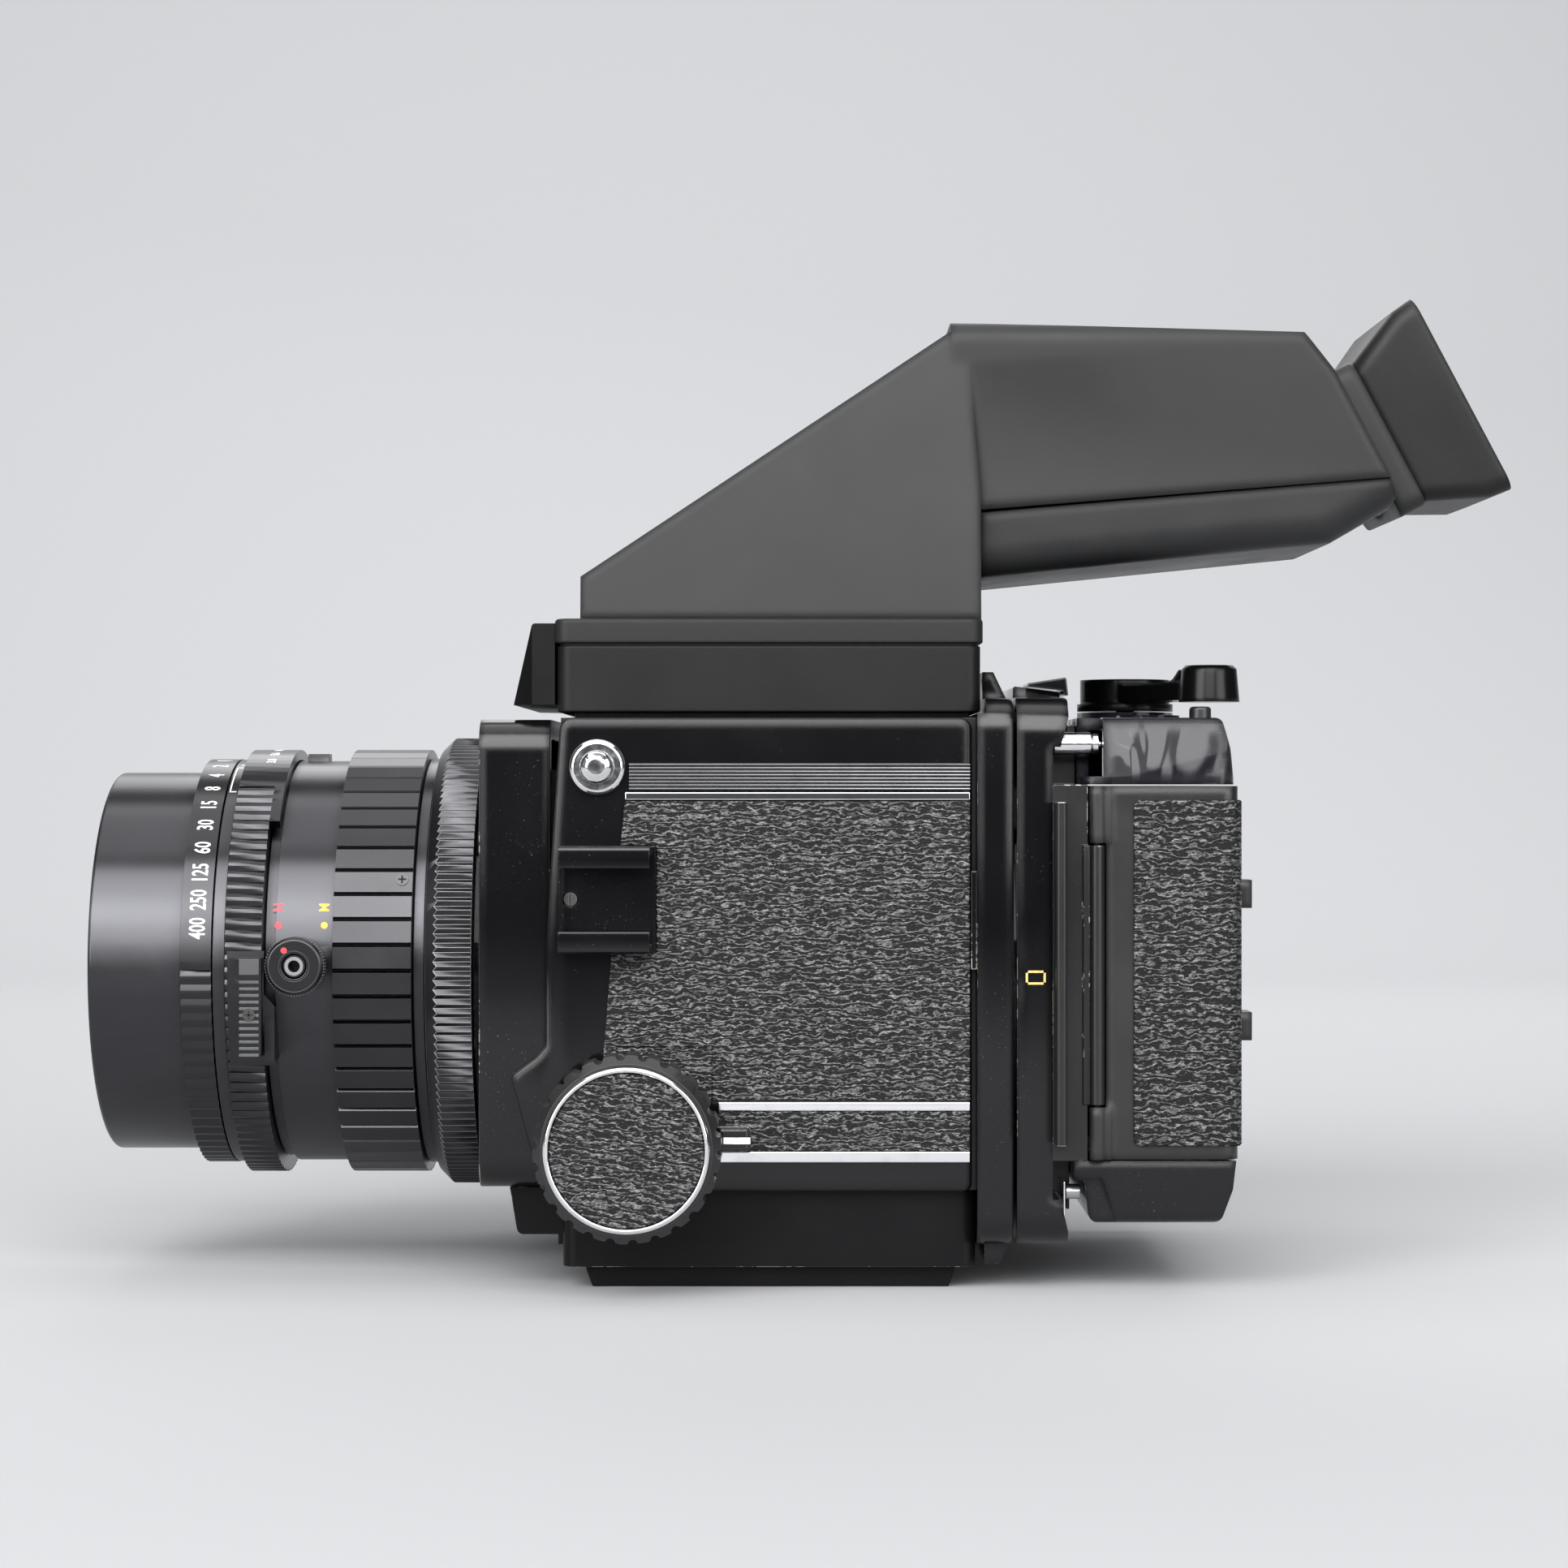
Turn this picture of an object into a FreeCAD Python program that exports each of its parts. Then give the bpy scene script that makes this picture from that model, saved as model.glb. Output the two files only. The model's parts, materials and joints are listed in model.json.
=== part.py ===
import FreeCAD, Part
import Sketcher
import math
import os
import re

# Medium format reflex film camera with a bellows front, a revolving back and a prism finder.
# Millimetres. +X runs from the lens to the film holder, +Z is up, and -Y is the camera's left side.
# The origin is the mouth of the tripod socket, in the middle of the foot.

Vec = FreeCAD.Vector
doc = FreeCAD.newDocument("FilmCamera")
sheet = doc.addObject("Spreadsheet::Sheet", "Sizes")

# Named sizes, each written once
SIZES = {
    # Whole camera
    "lens_axis": 64.0,
    "turning_gap": 0.3,
    "seat_gap": 0.05,
    # Body box: casting, side covers and what lies on them
    "body_front": -42.4,
    "body_rear": 41.0,
    "body_top": 114.9,
    "body_low": 20.1,
    "casting_half": 47.2,
    "cover_thick": 2.8,
    "cover_rear": 40.0,
    "casting_front_wall": 4.4,
    "bay_wall": 2.5,
    "chamber_floor": 34.2,
    "chamber_roof": 3.0,
    "floor_slab_low": 25.0,
    "pocket_wall": 9.2,
    "screen_half": 36.0,
    "screen_thick": 2.0,
    "screen_ledge": 2.0,
    "seat_ring_high": 1.2,
    "front_window_half": 36.0,
    "front_window_top": 97.0,
    "rail_bay_deep": 5.7,
    "rail_bay_low": 22.6,
    "rail_bay_high": 43.2,
    "rail_bay_rear": 37.0,
    "cheek_front": -52.4,
    "cheek_high": 43.2,
    "cheek_low_front": -46.2,
    "cover_mid_front": -45.4,
    "panel_thick": 0.8,
    "panel_front": -29.4,
    "panel_front_low": -33.6,
    "panel_rear": 39.6,
    "panel_top": 98.2,
    "panel_knee": 49.0,
    "panel_knob_edge": -12.0,
    "panel_low": 38.4,
    "strip_front": -10.8,
    "strip_thick": 1.0,
    "upper_strip_low": 98.4,
    "upper_strip_high": 100.0,
    "middle_strip_low": 36.3,
    "middle_strip_high": 38.1,
    "lower_strip_low": 26.0,
    "lower_strip_high": 28.2,
    "trim_front": -28.6,
    "trim_low": 100.3,
    "trim_high": 105.8,
    "trim_thick": 1.1,
    "trim_groove": 0.5,
    "trim_rib_count": 8,
    "lug_front": -34.9,
    "lug_high": 105.0,
    "lug_base_radius": 5.6,
    "lug_neck_radius": 2.6,
    "lug_dome_radius": 3.4,
    "lug_reach": 6.0,
    # Accessory shoe on the left cover
    "shoe_front": -42.4,
    "shoe_rear": -23.2,
    "shoe_low": 67.9,
    "shoe_high": 89.3,
    "shoe_plate": 1.6,
    "shoe_reach": 7.0,
    "shoe_wall": 1.6,
    "shoe_lip_depth": 1.7,
    "shoe_gap": 12.5,
    "shoe_lip_rear": -24.2,
    "shoe_screw_front": -40.2,
    "shoe_screw_radius": 1.35,
    "shoe_screw_head": 0.5,
    "shoe_screw_slot": 0.4,
    # Base, foot and release
    "base_front": -42.2,
    "base_rear": 41.0,
    "base_in": 1.2,
    "base_low": 4.5,
    "base_wall": 2.0,
    "apron_front": -53.2,
    "apron_low": 10.3,
    "apron_low_front": -51.6,
    "apron_step": 1.2,
    "apron_left_in": 6.0,
    "apron_right_in": 2.0,
    "foot_front": -37.6,
    "foot_rear": 37.0,
    "foot_in": 4.0,
    "foot_bevel": 1.3,
    "bush_outer": 8.0,
    "bush_high": 9.5,
    "socket_radius": 4.76,
    "release_side": 30.0,
    "release_height": 14.2,
    "release_radius": 2.6,
    "ear_reach": 3.0,
    "ear_half": 1.2,
    "collar_bevel": 0.8,
    "release_rear": -45.0,
    "release_front": -58.0,
    "collar_outer": 4.4,
    "collar_front": -57.0,
    "collar_rear": -53.0,
    # Rear flange and its bearing ring
    "flange_rear": 48.3,
    "flange_out": 4.8,
    "flange_drop": 0.2,
    "flange_corner": 6.0,
    "flange_window_half": 34.0,
    "flange_window_low": 29.0,
    "flange_window_top": 99.0,
    "bearing_outer": 50.8,
    "bearing_inner": 49.2,
    "bearing_rear": 50.5,
    "stop_front": 43.2,
    "stop_rear": 48.2,
    "stop_half": 30.0,
    "stop_top": 124.6,
    "flange_foot_front": 42.7,
    "flange_foot_rear": 47.9,
    "flange_foot_low": 5.2,
    "flange_foot_half": 46.0,
    "tab_front": 39.7,
    "tab_rear": 40.9,
    "tab_low": 64.6,
    "tab_high": 84.3,
    "tab_thick": 2.2,
    "tab_shank_front": 40.3,
    "cap_clear_drop": 3.1,
    # Front standard, bellows and racks
    "standard_front": -58.9,
    "standard_rear": -44.6,
    "standard_in": 0.2,
    "standard_low": 20.2,
    "standard_top": 114.6,
    "standard_corner": 6.0,
    "standard_wall": 4.0,
    "standard_face": 3.5,
    "mount_bore": 31.0,
    "mount_step": 1.3,
    "mount_outer": 45.0,
    "bellows_in": 6.5,
    "bellows_low": 28.0,
    "bellows_high": 104.0,
    "bellows_fold": 3.2,
    "bellows_wall": 1.2,
    "bellows_pleats": 6,
    "rack_gap": 1.6,
    "rack_thick": 3.4,
    "rack_top": 41.6,
    "rack_rear": 21.0,
    "tooth_module": 0.9,
    "pinion_teeth": 14,
    "tooth_backlash": 0.25,
    # Focus drive
    "focus_x": -28.3,
    "focus_z": 30.2,
    "shaft_radius": 2.5,
    "shaft_fit": 0.05,
    "pinion_set": 0.2,
    "cover_bore": 4.2,
    "knob_gap": 7.5,
    "knob_thick": 11.1,
    "knob_neck": 9.6,
    "knob_grip": 18.4,
    "knob_scallop": 0.9,
    "knob_scallops": 26,
    "ring_outer": 16.3,
    "ring_inner": 15.2,
    "ring_proud": 1.4,
    "disc_proud": 0.8,
    "dish_deep": 1.0,
    "lock_plate_gap": 1.2,
    "lock_plate_thick": 2.4,
    "lock_ring_outer": 12.6,
    "lock_arm_tip": -4.2,
    "lock_arm_high": 33.4,
    "lock_arm_low": 28.6,
    # Lens: stations along the optical axis and radii
    "barrel_long": 19.1,
    "barrel_deep": 2.0,
    "filter_wall": 1.7,
    "filter_depth": 4.5,
    "bezel_lip": 1.7,
    "glass_ledge": 5.0,
    "glass_in": 6.4,
    "glass_edge": 5.6,
    "glass_long": 6.0,
    "glass_bulge": 70.0,
    "rear_glass_radius": 25.0,
    "rear_glass_front": -52.0,
    "rear_glass_back": -48.4,
    "core_radius": 38.0,
    "core_wall": 10.0,
    "rear_tube_radius": 29.0,
    "rear_tube_end": -47.0,
    "speed_long": 6.2,
    "speed_deep": 4.9,
    "index_long": 2.5,
    "index_deep": 4.8,
    "aperture_long": 7.4,
    "crown_gap": 0.4,
    "aperture_deep": 6.9,
    "aperture_smooth": 34.0,
    "aperture_crown": 42.0,
    "nose_long": 2.1,
    "mid_long": 11.5,
    "mid_deep": 4.5,
    "scale_long": 15.8,
    "scale_deep": 6.9,
    "scale_ribs": 54,
    "scale_rib_deep": 0.8,
    "step_long": 2.2,
    "step_deep": 5.0,
    "lock_long": 9.5,
    "lock_deep": 9.4,
    "lock_bevel": 2.6,
    "lock_teeth": 156,
    "lock_tooth_deep": 0.8,
    "grip_teeth": 90,
    "grip_tooth_deep": 0.5,
    "preview_long": 4.2,
    "preview_past": 0.4,
    "preview_low": 46.9,
    "preview_high": 66.7,
    "preview_clear": 0.1,
    "preview_grip": 1.8,
    "preview_in": 0.7,
    "preview_lap": 0.6,
    "preview_base_low": 44.7,
    "preview_base_high": 68.0,
    "preview_shell": 1.1,
    "preview_foot_top": 59.3,
    "socket_in": 7.0,
    "socket_z": 65.0,
    "socket_outer": 2.2,
    "socket_hole": 1.25,
    "socket_proud": 5.1,
    "socket_deep": 3.0,
    "collar_ring_outer": 5.9,
    "collar_ring_inner": 2.5,
    "collar_gap": 0.6,
    "collar_long": 4.9,
    "sync_long": 4.4,
    "sync_in": 5.7,
    "sync_half": 2.6,
    "sync_rise": 1.5,
    # Mirror
    "film_plane": 60.5,
    "mirror_hinge_x": 44.5,
    "mirror_length": 77.0,
    "mirror_half": 32.5,
    "mirror_glass_half": 31.5,
    "mirror_glass_thick": 1.6,
    "mirror_plate_thick": 1.6,
    "mirror_glass_start": 6.0,
    "mirror_pin_radius": 1.2,
    "mirror_pin_fit": 0.05,
    "mirror_pin_short": 2.0,
    # Cocking lever on the right cover
    "cocking_x": 20.0,
    "cocking_z": 62.0,
    "cocking_hub": 8.0,
    "cocking_gap": 1.5,
    "cocking_thick": 3.7,
    "cocking_arm_length": 42.5,
    "cocking_arm_half": 4.0,
    "cocking_grip_long": 9.7,
    "cocking_grip_radius": 6.0,
    "cocking_lean": 20.0,
    "cocking_pin": 2.0,
    # Revolving adapter
    "adapter_front": 48.9,
    "adapter_rear": 56.0,
    "adapter_rail_rear": 59.2,
    "adapter_out": 0.0,
    "adapter_half_high": 55.0,
    "adapter_rail_high": 10.0,
    "adapter_window_half": 35.5,
    "adapter_corner": 7.0,
    "slide_front": 52.0,
    "slide_rear": 60.2,
    "slide_left": -38.0,
    "slide_right": -22.0,
    "slide_front_rise": 2.45,
    "slide_rear_rise": 1.65,
    "slide_front_thick": 0.65,
    "slide_rear_thick": 2.65,
    "slide_hook_rise": 0.6,
    "cap_rail_half": 34.0,
    "rail_front_rise": 2.6,
    "rail_rear_rise": 1.4,
    "cap_rail_front": 49.2,
    "cap_rail_rear": 58.7,
    "adapter_rail_step": 1.6,
    "adapter_low_rail_high": 9.6,
    "pin_in": 6.5,
    "pin_high": 109.6,
    "pin_radius": 2.4,
    "pin_fit": 0.08,
    "pin_front": 56.6,
    "pin_rear": 64.1,
    "pin_ring_rear": 65.6,
    "pin_ring_radius": 2.1,
    "pin_tip_rear": 67.8,
    "pin_tip_radius": 0.7,
    "pin_bore_front": 54.6,
    # Film holder
    "case_rear": 63.0,
    "case_out": 0.0,
    "case_low": 26.4,
    "case_top": 101.5,
    "case_wall": 2.0,
    "case_face_rear": 60.3,
    "mount_plate_half": 40.0,
    "mount_plate_front": 59.6,
    "mount_plate_drop": 5.4,
    "mount_plate_lift": 6.4,
    "mount_root_gap": 0.4,
    "gate_half_wide": 34.8,
    "gate_half_high": 28.0,
    "dark_slot_front": 56.9,
    "dark_slot_rear": 57.5,
    "dark_front": 57.0,
    "dark_rear": 57.4,
    "dark_half_high": 30.8,
    "dark_short": 9.0,
    "dark_slot_past": 1.0,
    "dark_grip_front": 56.2,
    "dark_grip_rear": 58.4,
    "dark_grip_gap": 0.3,
    "dark_grip_long": 6.2,
    "dark_grip_half_high": 34.0,
    "hinge_x": 64.8,
    "hinge_out": 0.3,
    "knuckle_radius": 1.5,
    "hinge_pin_radius": 0.6,
    "hinge_pin_fit": 0.07,
    "knuckle_low": 37.4,
    "knuckle_high": 89.6,
    "knuckle_gap": 0.25,
    "web_out": 0.9,
    "door_low": 26.7,
    "door_top": 101.2,
    "door_front": 66.6,
    "door_far_front": 63.3,
    "door_rear": 93.2,
    "door_wall": 1.8,
    "door_corner": 3.0,
    "memo_half": 30.0,
    "memo_low": 48.9,
    "memo_high": 81.9,
    "memo_thick": 0.8,
    "memo_tab_proud": 4.6,
    "memo_tab_high": 5.8,
    "memo_tab_half": 8.0,
    "memo_clear": 0.15,
    "memo_sink": 0.4,
    "door_panel_front": 72.1,
    "door_panel_low": 29.4,
    "door_panel_top": 98.4,
    "door_panel_corner": 1.5,
    "leather_slack": 1.0,
    "latch_x": 65.3,
    "latch_half_long": 2.5,
    "latch_half_high": 9.0,
    "latch_thick": 2.2,
    "top_cap_front": 61.5,
    "cap_block_rear": 66.2,
    "cap_block_inset": 9.3,
    "top_cap_rear": 92.5,
    "top_cap_top_rear": 89.8,
    "top_cap_knee_x": 91.6,
    "top_cap_knee_z": 108.6,
    "cap_round": 1.6,
    "cap_edge": 2.2,
    "top_cap_high": 114.9,
    "cap_taper": 1.4,
    "cap_wall": 2.4,
    "cap_corner": 4.0,
    "bottom_cap_low": 13.9,
    "bottom_cap_front": 63.4,
    "bottom_cap_rear": 92.6,
    "bottom_cap_lean": 0.6,
    "bottom_cap_knee": 20.6,
    "bottom_cap_low_rear": 89.6,
    "bottom_block_high": 22.4,
    "cap_notch_top": 23.0,
    "cap_notch_rear": 65.9,
    "cap_notch_low_rear": 69.2,
    "cap_notch_deep": 2.2,
    "wind_x": 77.4,
    "wind_y": 22.0,
    "wind_boss_radius": 10.5,
    "wind_boss_top": 117.2,
    "wind_hub_radius": 9.8,
    "wind_hub_low": 117.5,
    "wind_hub_top": 124.4,
    "wind_arm_low": 119.4,
    "wind_arm_top": 123.2,
    "wind_arm_half": 4.6,
    "wind_reach": 35.0,
    "wind_lean": -65.0,
    "wind_grip_radius": 6.4,
    "wind_grip_lean": 0.6,
    "wind_grip_bevel": 0.8,
    "wind_ramp": 10.5,
    "wind_ramp_knee": 2.4,
    "wind_ramp_half": 4.0,
    "wind_grip_low": 118.9,
    "wind_grip_top": 126.6,
    "wind_shaft_radius": 2.0,
    "button_x": 86.3,
    "button_in": 8.0,
    "button_radius": 2.2,
    "button_top": 117.2,
    "button_low": 111.5,
    "dial_x": 78.0,
    "dial_y": -22.0,
    "dial_radius": 6.5,
    "dial_rise": 0.9,
    # Film insert and spools
    "spool_x": 79.0,
    "spool_y": 33.0,
    "spool_length": 65.7,
    "spool_flange": 12.2,
    "spool_flange_thick": 1.6,
    "spool_core": 5.5,
    "spool_bore": 2.1,
    "spool_pin": 2.0,
    "film_roll": 10.5,
    "insert_plate_thick": 2.3,
    "insert_play": 0.2,
    "insert_front": 61.0,
    "insert_rear": 91.0,
    "insert_in": 3.5,
    "pressure_front": 60.6,
    "pressure_rear": 61.8,
    "pressure_half": 33.0,
    "post_rear": 68.5,
    "post_half": 5.0,
    # Prism finder
    "finder_front": -43.3,
    "finder_rear": 42.0,
    "finder_in": 1.2,
    "finder_low": 116.1,
    "rim_low": 129.4,
    "rim_top": 134.9,
    "rim_proud": 0.5,
    "rim_notch": 0.6,
    "finder_corner": 3.0,
    "finder_wall": 2.8,
    "finder_light_half": 31.0,
    "wedge_front": -39.0,
    "wedge_rear": 42.5,
    "wedge_in": 7.4,
    "wedge_low_front_top": 143.8,
    "wedge_peak_x": 39.6,
    "wedge_peak": 196.4,
    "wedge_top_half": 32.1,
    "tube_half": 33.0,
    "tube_corner": 4.0,
    "tube_top_rear_x": 109.0,
    "tube_top_rear": 194.2,
    "tube_back_top": 186.2,
    "tube_seam_rear": 164.5,
    "tube_seam_front": 157.3,
    "tube_low_front": 144.1,
    "tube_low_bend_x": 115.1,
    "tube_low_bend": 151.3,
    "tube_low_rear_x": 128.3,
    "tube_low_rear": 160.6,
    "under_cover_in": 0.8,
    "under_cover_round": 6.0,
    "finder_shell": 2.6,
    "tube_low_corner_x": 127.2,
    "tube_low_corner": 158.3,
    "prism_front": -30.0,
    "prism_rear": 36.0,
    "prism_front_top": 141.0,
    "prism_top": 183.0,
    "prism_half": 34.0,
    "plate_top_front": -48.4,
    "plate_low_front": -52.4,
    "plate_low": 117.6,
    "plate_top": 134.0,
    "plate_in": 2.0,
    "plate_chamfer": 4.0,
    # Eyepiece, in a frame of its own that looks down at the finder's back
    "eye_tilt": 28.0,
    "eye_x": 122.9,
    "eye_z": 171.9,
    "eye_frame_thick": 6.0,
    "eye_frame_half_high": 16.8,
    "eye_frame_half_wide": 23.0,
    "eye_frame_corner": 3.0,
    "eye_frame_round": 0.8,
    "eye_bore": 13.0,
    "eye_lens_thick": 3.0,
    "eye_lens_ledge": 1.5,
    "cup_depth": 16.1,
    "cup_neck_half_high": 16.3,
    "cup_neck_half_wide": 22.5,
    "cup_rim_half_high": 22.3,
    "cup_rim_half_wide": 28.0,
    "cup_rim_thick": 4.5,
    "cup_wall": 2.6,
    "cup_corner": 3.6,
    "cup_rim_lean": 0.6,
    "cup_foot": 0.4,
}

# Places and radii that follow the sizes above, each a plain sum
LINKS = {
    "rail_bay_inner": "casting_half - rail_bay_deep",
    "chamber_half": "rail_bay_inner - bay_wall",
    "under_pocket_half": "casting_half - pocket_wall",
    "base_half": "casting_half - base_in",
    "foot_half": "base_half - foot_in",
    "apron_left": "- base_half + apron_left_in",
    "apron_right": "base_half - apron_right_in",
    "flange_half": "casting_half + flange_out",
    "standard_half": "casting_half - standard_in",
    "bellows_half": "standard_half - bellows_in",
    "rack_inner": "rail_bay_inner + rack_gap",
    "rack_outer": "rack_inner + rack_thick",
    "pinion_inner": "rack_inner + pinion_set",
    "pinion_outer": "rack_outer - pinion_set",
    "knob_back": "casting_half + cover_thick + knob_gap",
    "knob_face": "knob_back + knob_thick",
    "lock_plate_in": "casting_half + cover_thick + lock_plate_gap",
    "lock_plate_out": "lock_plate_in + lock_plate_thick",
    "mirror_pin_half": "chamber_half - mirror_pin_short",
    "cocking_in": "casting_half + cover_thick + cocking_gap",
    "cocking_out": "cocking_in + cocking_thick",
    "cocking_grip_out": "cocking_in + cocking_grip_long",
    "adapter_half_wide": "flange_half + adapter_out",
    "case_half": "adapter_half_wide + case_out",
    "hinge_y": "- case_half - hinge_out",
    "pin_side": "- case_half + pin_in",
    "insert_half": "case_half - insert_in",
    "button_y": "- case_half + button_in",
    "finder_half": "casting_half - finder_in",
    "wedge_half": "finder_half - wedge_in",
    "plate_half": "finder_half - plate_in",
    "under_cover_half": "tube_half - under_cover_in",
    "mount_front": "standard_front - mount_step",
    "lock_rear": "mount_front - turning_gap",
    "lock_front": "lock_rear - lock_long",
    "step_rear": "lock_front - turning_gap",
    "step_front": "step_rear - step_long",
    "scale_rear": "step_front - turning_gap",
    "scale_front": "scale_rear - scale_long",
    "mid_rear": "scale_front - turning_gap",
    "mid_wide_front": "mid_rear - mid_long",
    "mid_front": "mid_wide_front - nose_long",
    "aperture_wide_rear": "mid_wide_front - crown_gap",
    "aperture_narrow_rear": "mid_front - crown_gap",
    "aperture_front": "aperture_narrow_rear - aperture_long",
    "index_rear": "aperture_front - turning_gap",
    "index_front": "index_rear - index_long",
    "speed_rear": "index_front - turning_gap",
    "speed_front": "speed_rear - speed_long",
    "barrel_rear": "speed_front - turning_gap",
    "barrel_front": "barrel_rear - barrel_long",
    "glass_front": "barrel_front + glass_in",
    "glass_seat": "glass_front + glass_edge",
    "preview_rear": "aperture_narrow_rear + preview_past",
    "preview_front": "preview_rear - preview_long",
    "preview_step": "mid_front + turning_gap",
    "preview_base_front": "aperture_front + preview_in",
    "preview_base_rear": "aperture_wide_rear + preview_lap",
    "socket_x": "mid_rear - socket_in",
    "sync_rear": "mid_rear - sync_in",
    "sync_front": "sync_rear - sync_long",
    "barrel_radius": "core_radius + barrel_deep",
    "filter_radius": "barrel_radius - filter_wall",
    "bezel_radius": "filter_radius - bezel_lip",
    "glass_radius": "bezel_radius - glass_ledge",
    "speed_radius": "core_radius + speed_deep",
    "index_radius": "core_radius + index_deep",
    "aperture_radius": "core_radius + aperture_deep",
    "mid_radius": "core_radius + mid_deep",
    "scale_radius": "core_radius + scale_deep",
    "step_radius": "core_radius + step_deep",
    "lock_radius": "core_radius + lock_deep",
    "preview_base_radius": "aperture_radius + preview_shell",
    "preview_out": "preview_base_radius + preview_grip",
    "preview_over": "aperture_radius + preview_clear",
    "socket_tip": "mid_radius + socket_proud",
    "socket_root": "core_radius + socket_deep",
    "collar_ring_in": "mid_radius + collar_gap",
    "collar_ring_out": "collar_ring_in + collar_long",
    "sync_high": "lens_axis + mid_radius + sync_rise",
    "flange_top": "lens_axis + adapter_half_high - flange_drop",
    "flange_low": "lens_axis - adapter_half_high + flange_drop",
    "cap_rail_front_top": "lens_axis + adapter_half_high + rail_front_rise",
    "cap_rail_rear_top": "lens_axis + adapter_half_high + rail_rear_rise",
    "slide_front_low": "lens_axis + adapter_half_high + slide_front_rise",
    "slide_rear_low": "lens_axis + adapter_half_high + slide_rear_rise",
    "slide_front_top": "slide_front_low + slide_front_thick",
    "slide_rear_top": "slide_rear_low + slide_rear_thick",
    "slide_hook_low": "lens_axis + adapter_half_high + slide_hook_rise",
    "mount_plate_top": "lens_axis + adapter_half_high - mount_plate_drop",
    "cap_clear": "flange_top - cap_clear_drop",
    "dark_grip_in": "case_half + dark_grip_gap",
    "dark_grip_out": "dark_grip_in + dark_grip_long",
    "dark_end": "case_half - dark_short",
    "dark_slot_end": "dark_end + dark_slot_past",
    "mount_plate_low": "lens_axis - adapter_half_high + mount_plate_lift",
}
for row, (alias, size) in enumerate(SIZES.items(), start=1):
    sheet.set(f"A{row}", alias)
    sheet.set(f"B{row}", str(size))
    sheet.setAlias(f"B{row}", alias)
doc.recompute()

WORD = re.compile(r"[a-z][a-z0-9_]*")
UP = FreeCAD.Rotation()
VIEW_TURNS = {
    "XY": UP,
    "XZ": FreeCAD.Rotation(Vec(1, 0, 0), 90),
    "YZ": FreeCAD.Rotation(Vec(1, 1, 1), 120),
}
AXIS_TURNS = {
    "X": FreeCAD.Rotation(Vec(1, 0, 0), 90),
    "Y": FreeCAD.Rotation(Vec(1, 1, 1), 120),
    "Z": FreeCAD.Rotation(Vec(1, 1, 1), 240),
}
ROD_TURNS = {
    "X": FreeCAD.Rotation(Vec(0, 1, 0), 90),
    "Y": FreeCAD.Rotation(Vec(1, 0, 0), -90),
    "Z": UP,
}
PIECES = []
# A new sketch starts as a ring clear of the origin before its corners are tied
SEED_RING = 50.0
SEED_SHIFT = 60.0


def number(name):
    """The number that a name stands for: its cell, or the sum that it follows."""
    if name in SIZES:
        return float(sheet.get(name))
    total, sign = 0.0, 1.0
    for word in LINKS[name].split():
        if word in ("+", "-"):
            sign = 1.0 if word == "+" else -1.0
        else:
            total += sign * number(word)
    return total


def cells(match):
    """A size becomes its cell, a linked name the sum that it follows, and any other word stays."""
    word = match.group(0)
    if word in LINKS:
        return "(" + WORD.sub(cells, LINKS[word]) + ")"
    return "Sizes." + word if word in SIZES else word


def bind(obj, prop, text):
    """Ties one property to the sheet through the names in the text."""
    obj.setExpression(prop, WORD.sub(cells, str(text)))


def place(obj, turn, x="0", y="0", z="0"):
    """Turns an object, then ties its place to the sheet."""
    obj.Placement = FreeCAD.Placement(Vec(), turn)
    bind(obj, "Placement.Base.x", x)
    bind(obj, "Placement.Base.y", y)
    bind(obj, "Placement.Base.z", z)
    return obj


def block(x, y, z):
    """A box between two ends along each axis."""
    box = doc.addObject("Part::Box", "Block")
    for prop, (low, high) in zip(("Length", "Width", "Height"), (x, y, z)):
        bind(box, prop, f"({high}) - ({low})")
    return place(box, UP, x[0], y[0], z[0])


def rod(axis, centre, radius, span):
    """A cylinder along an axis. centre holds the other two coordinates in X, Y, Z order."""
    cylinder = doc.addObject("Part::Cylinder", "Rod")
    bind(cylinder, "Radius", radius)
    bind(cylinder, "Height", f"({span[1]}) - ({span[0]})")
    base = list(centre)
    base.insert("XYZ".index(axis), span[0])
    return place(cylinder, ROD_TURNS[axis], *base)


def closed_sketch(body, outline):
    """A closed polygon sketch whose corners are tied to the sheet."""
    sketch = body.newObject("Sketcher::SketchObject", "Outline")
    plane = [f for f in body.Origin.OriginFeatures if f.Role == "XY_Plane"][0]
    sketch.AttachmentSupport = [(plane, "")]
    sketch.MapMode = "FlatFace"
    count = len(outline)
    ring = []
    for i in range(count + 1):
        angle = 2 * math.pi * i / count
        ring.append(Vec(SEED_RING * math.cos(angle), SEED_RING * math.sin(angle), 0))
    sketch.addGeometry([Part.LineSegment(ring[i], ring[i + 1]) for i in range(count)], False)
    rules = [Sketcher.Constraint("Coincident", i, 2, (i + 1) % count, 1) for i in range(count)]
    for i in range(count):
        rules.append(Sketcher.Constraint("DistanceX", -1, 1, i, 1, ring[i].x + SEED_SHIFT))
        rules.append(Sketcher.Constraint("DistanceY", -1, 1, i, 1, ring[i].y + SEED_SHIFT))
    sketch.addConstraint(rules)
    for i, corner in enumerate(outline):
        bind(sketch, f"Constraints[{count + 2 * i}]", corner[0])
        bind(sketch, f"Constraints[{count + 2 * i + 1}]", corner[1])
    return sketch


def round_edges(body, base, radius, wanted):
    """Rounds the edges of a body's last feature for which wanted(edge) is true."""
    names = [f"Edge{i + 1}" for i, edge in enumerate(base.Shape.Edges) if wanted(edge)]
    fillet = body.newObject("PartDesign::Fillet", "Round")
    fillet.Base = (base, names)
    bind(fillet, "Radius", radius)
    doc.recompute()
    return fillet


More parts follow.
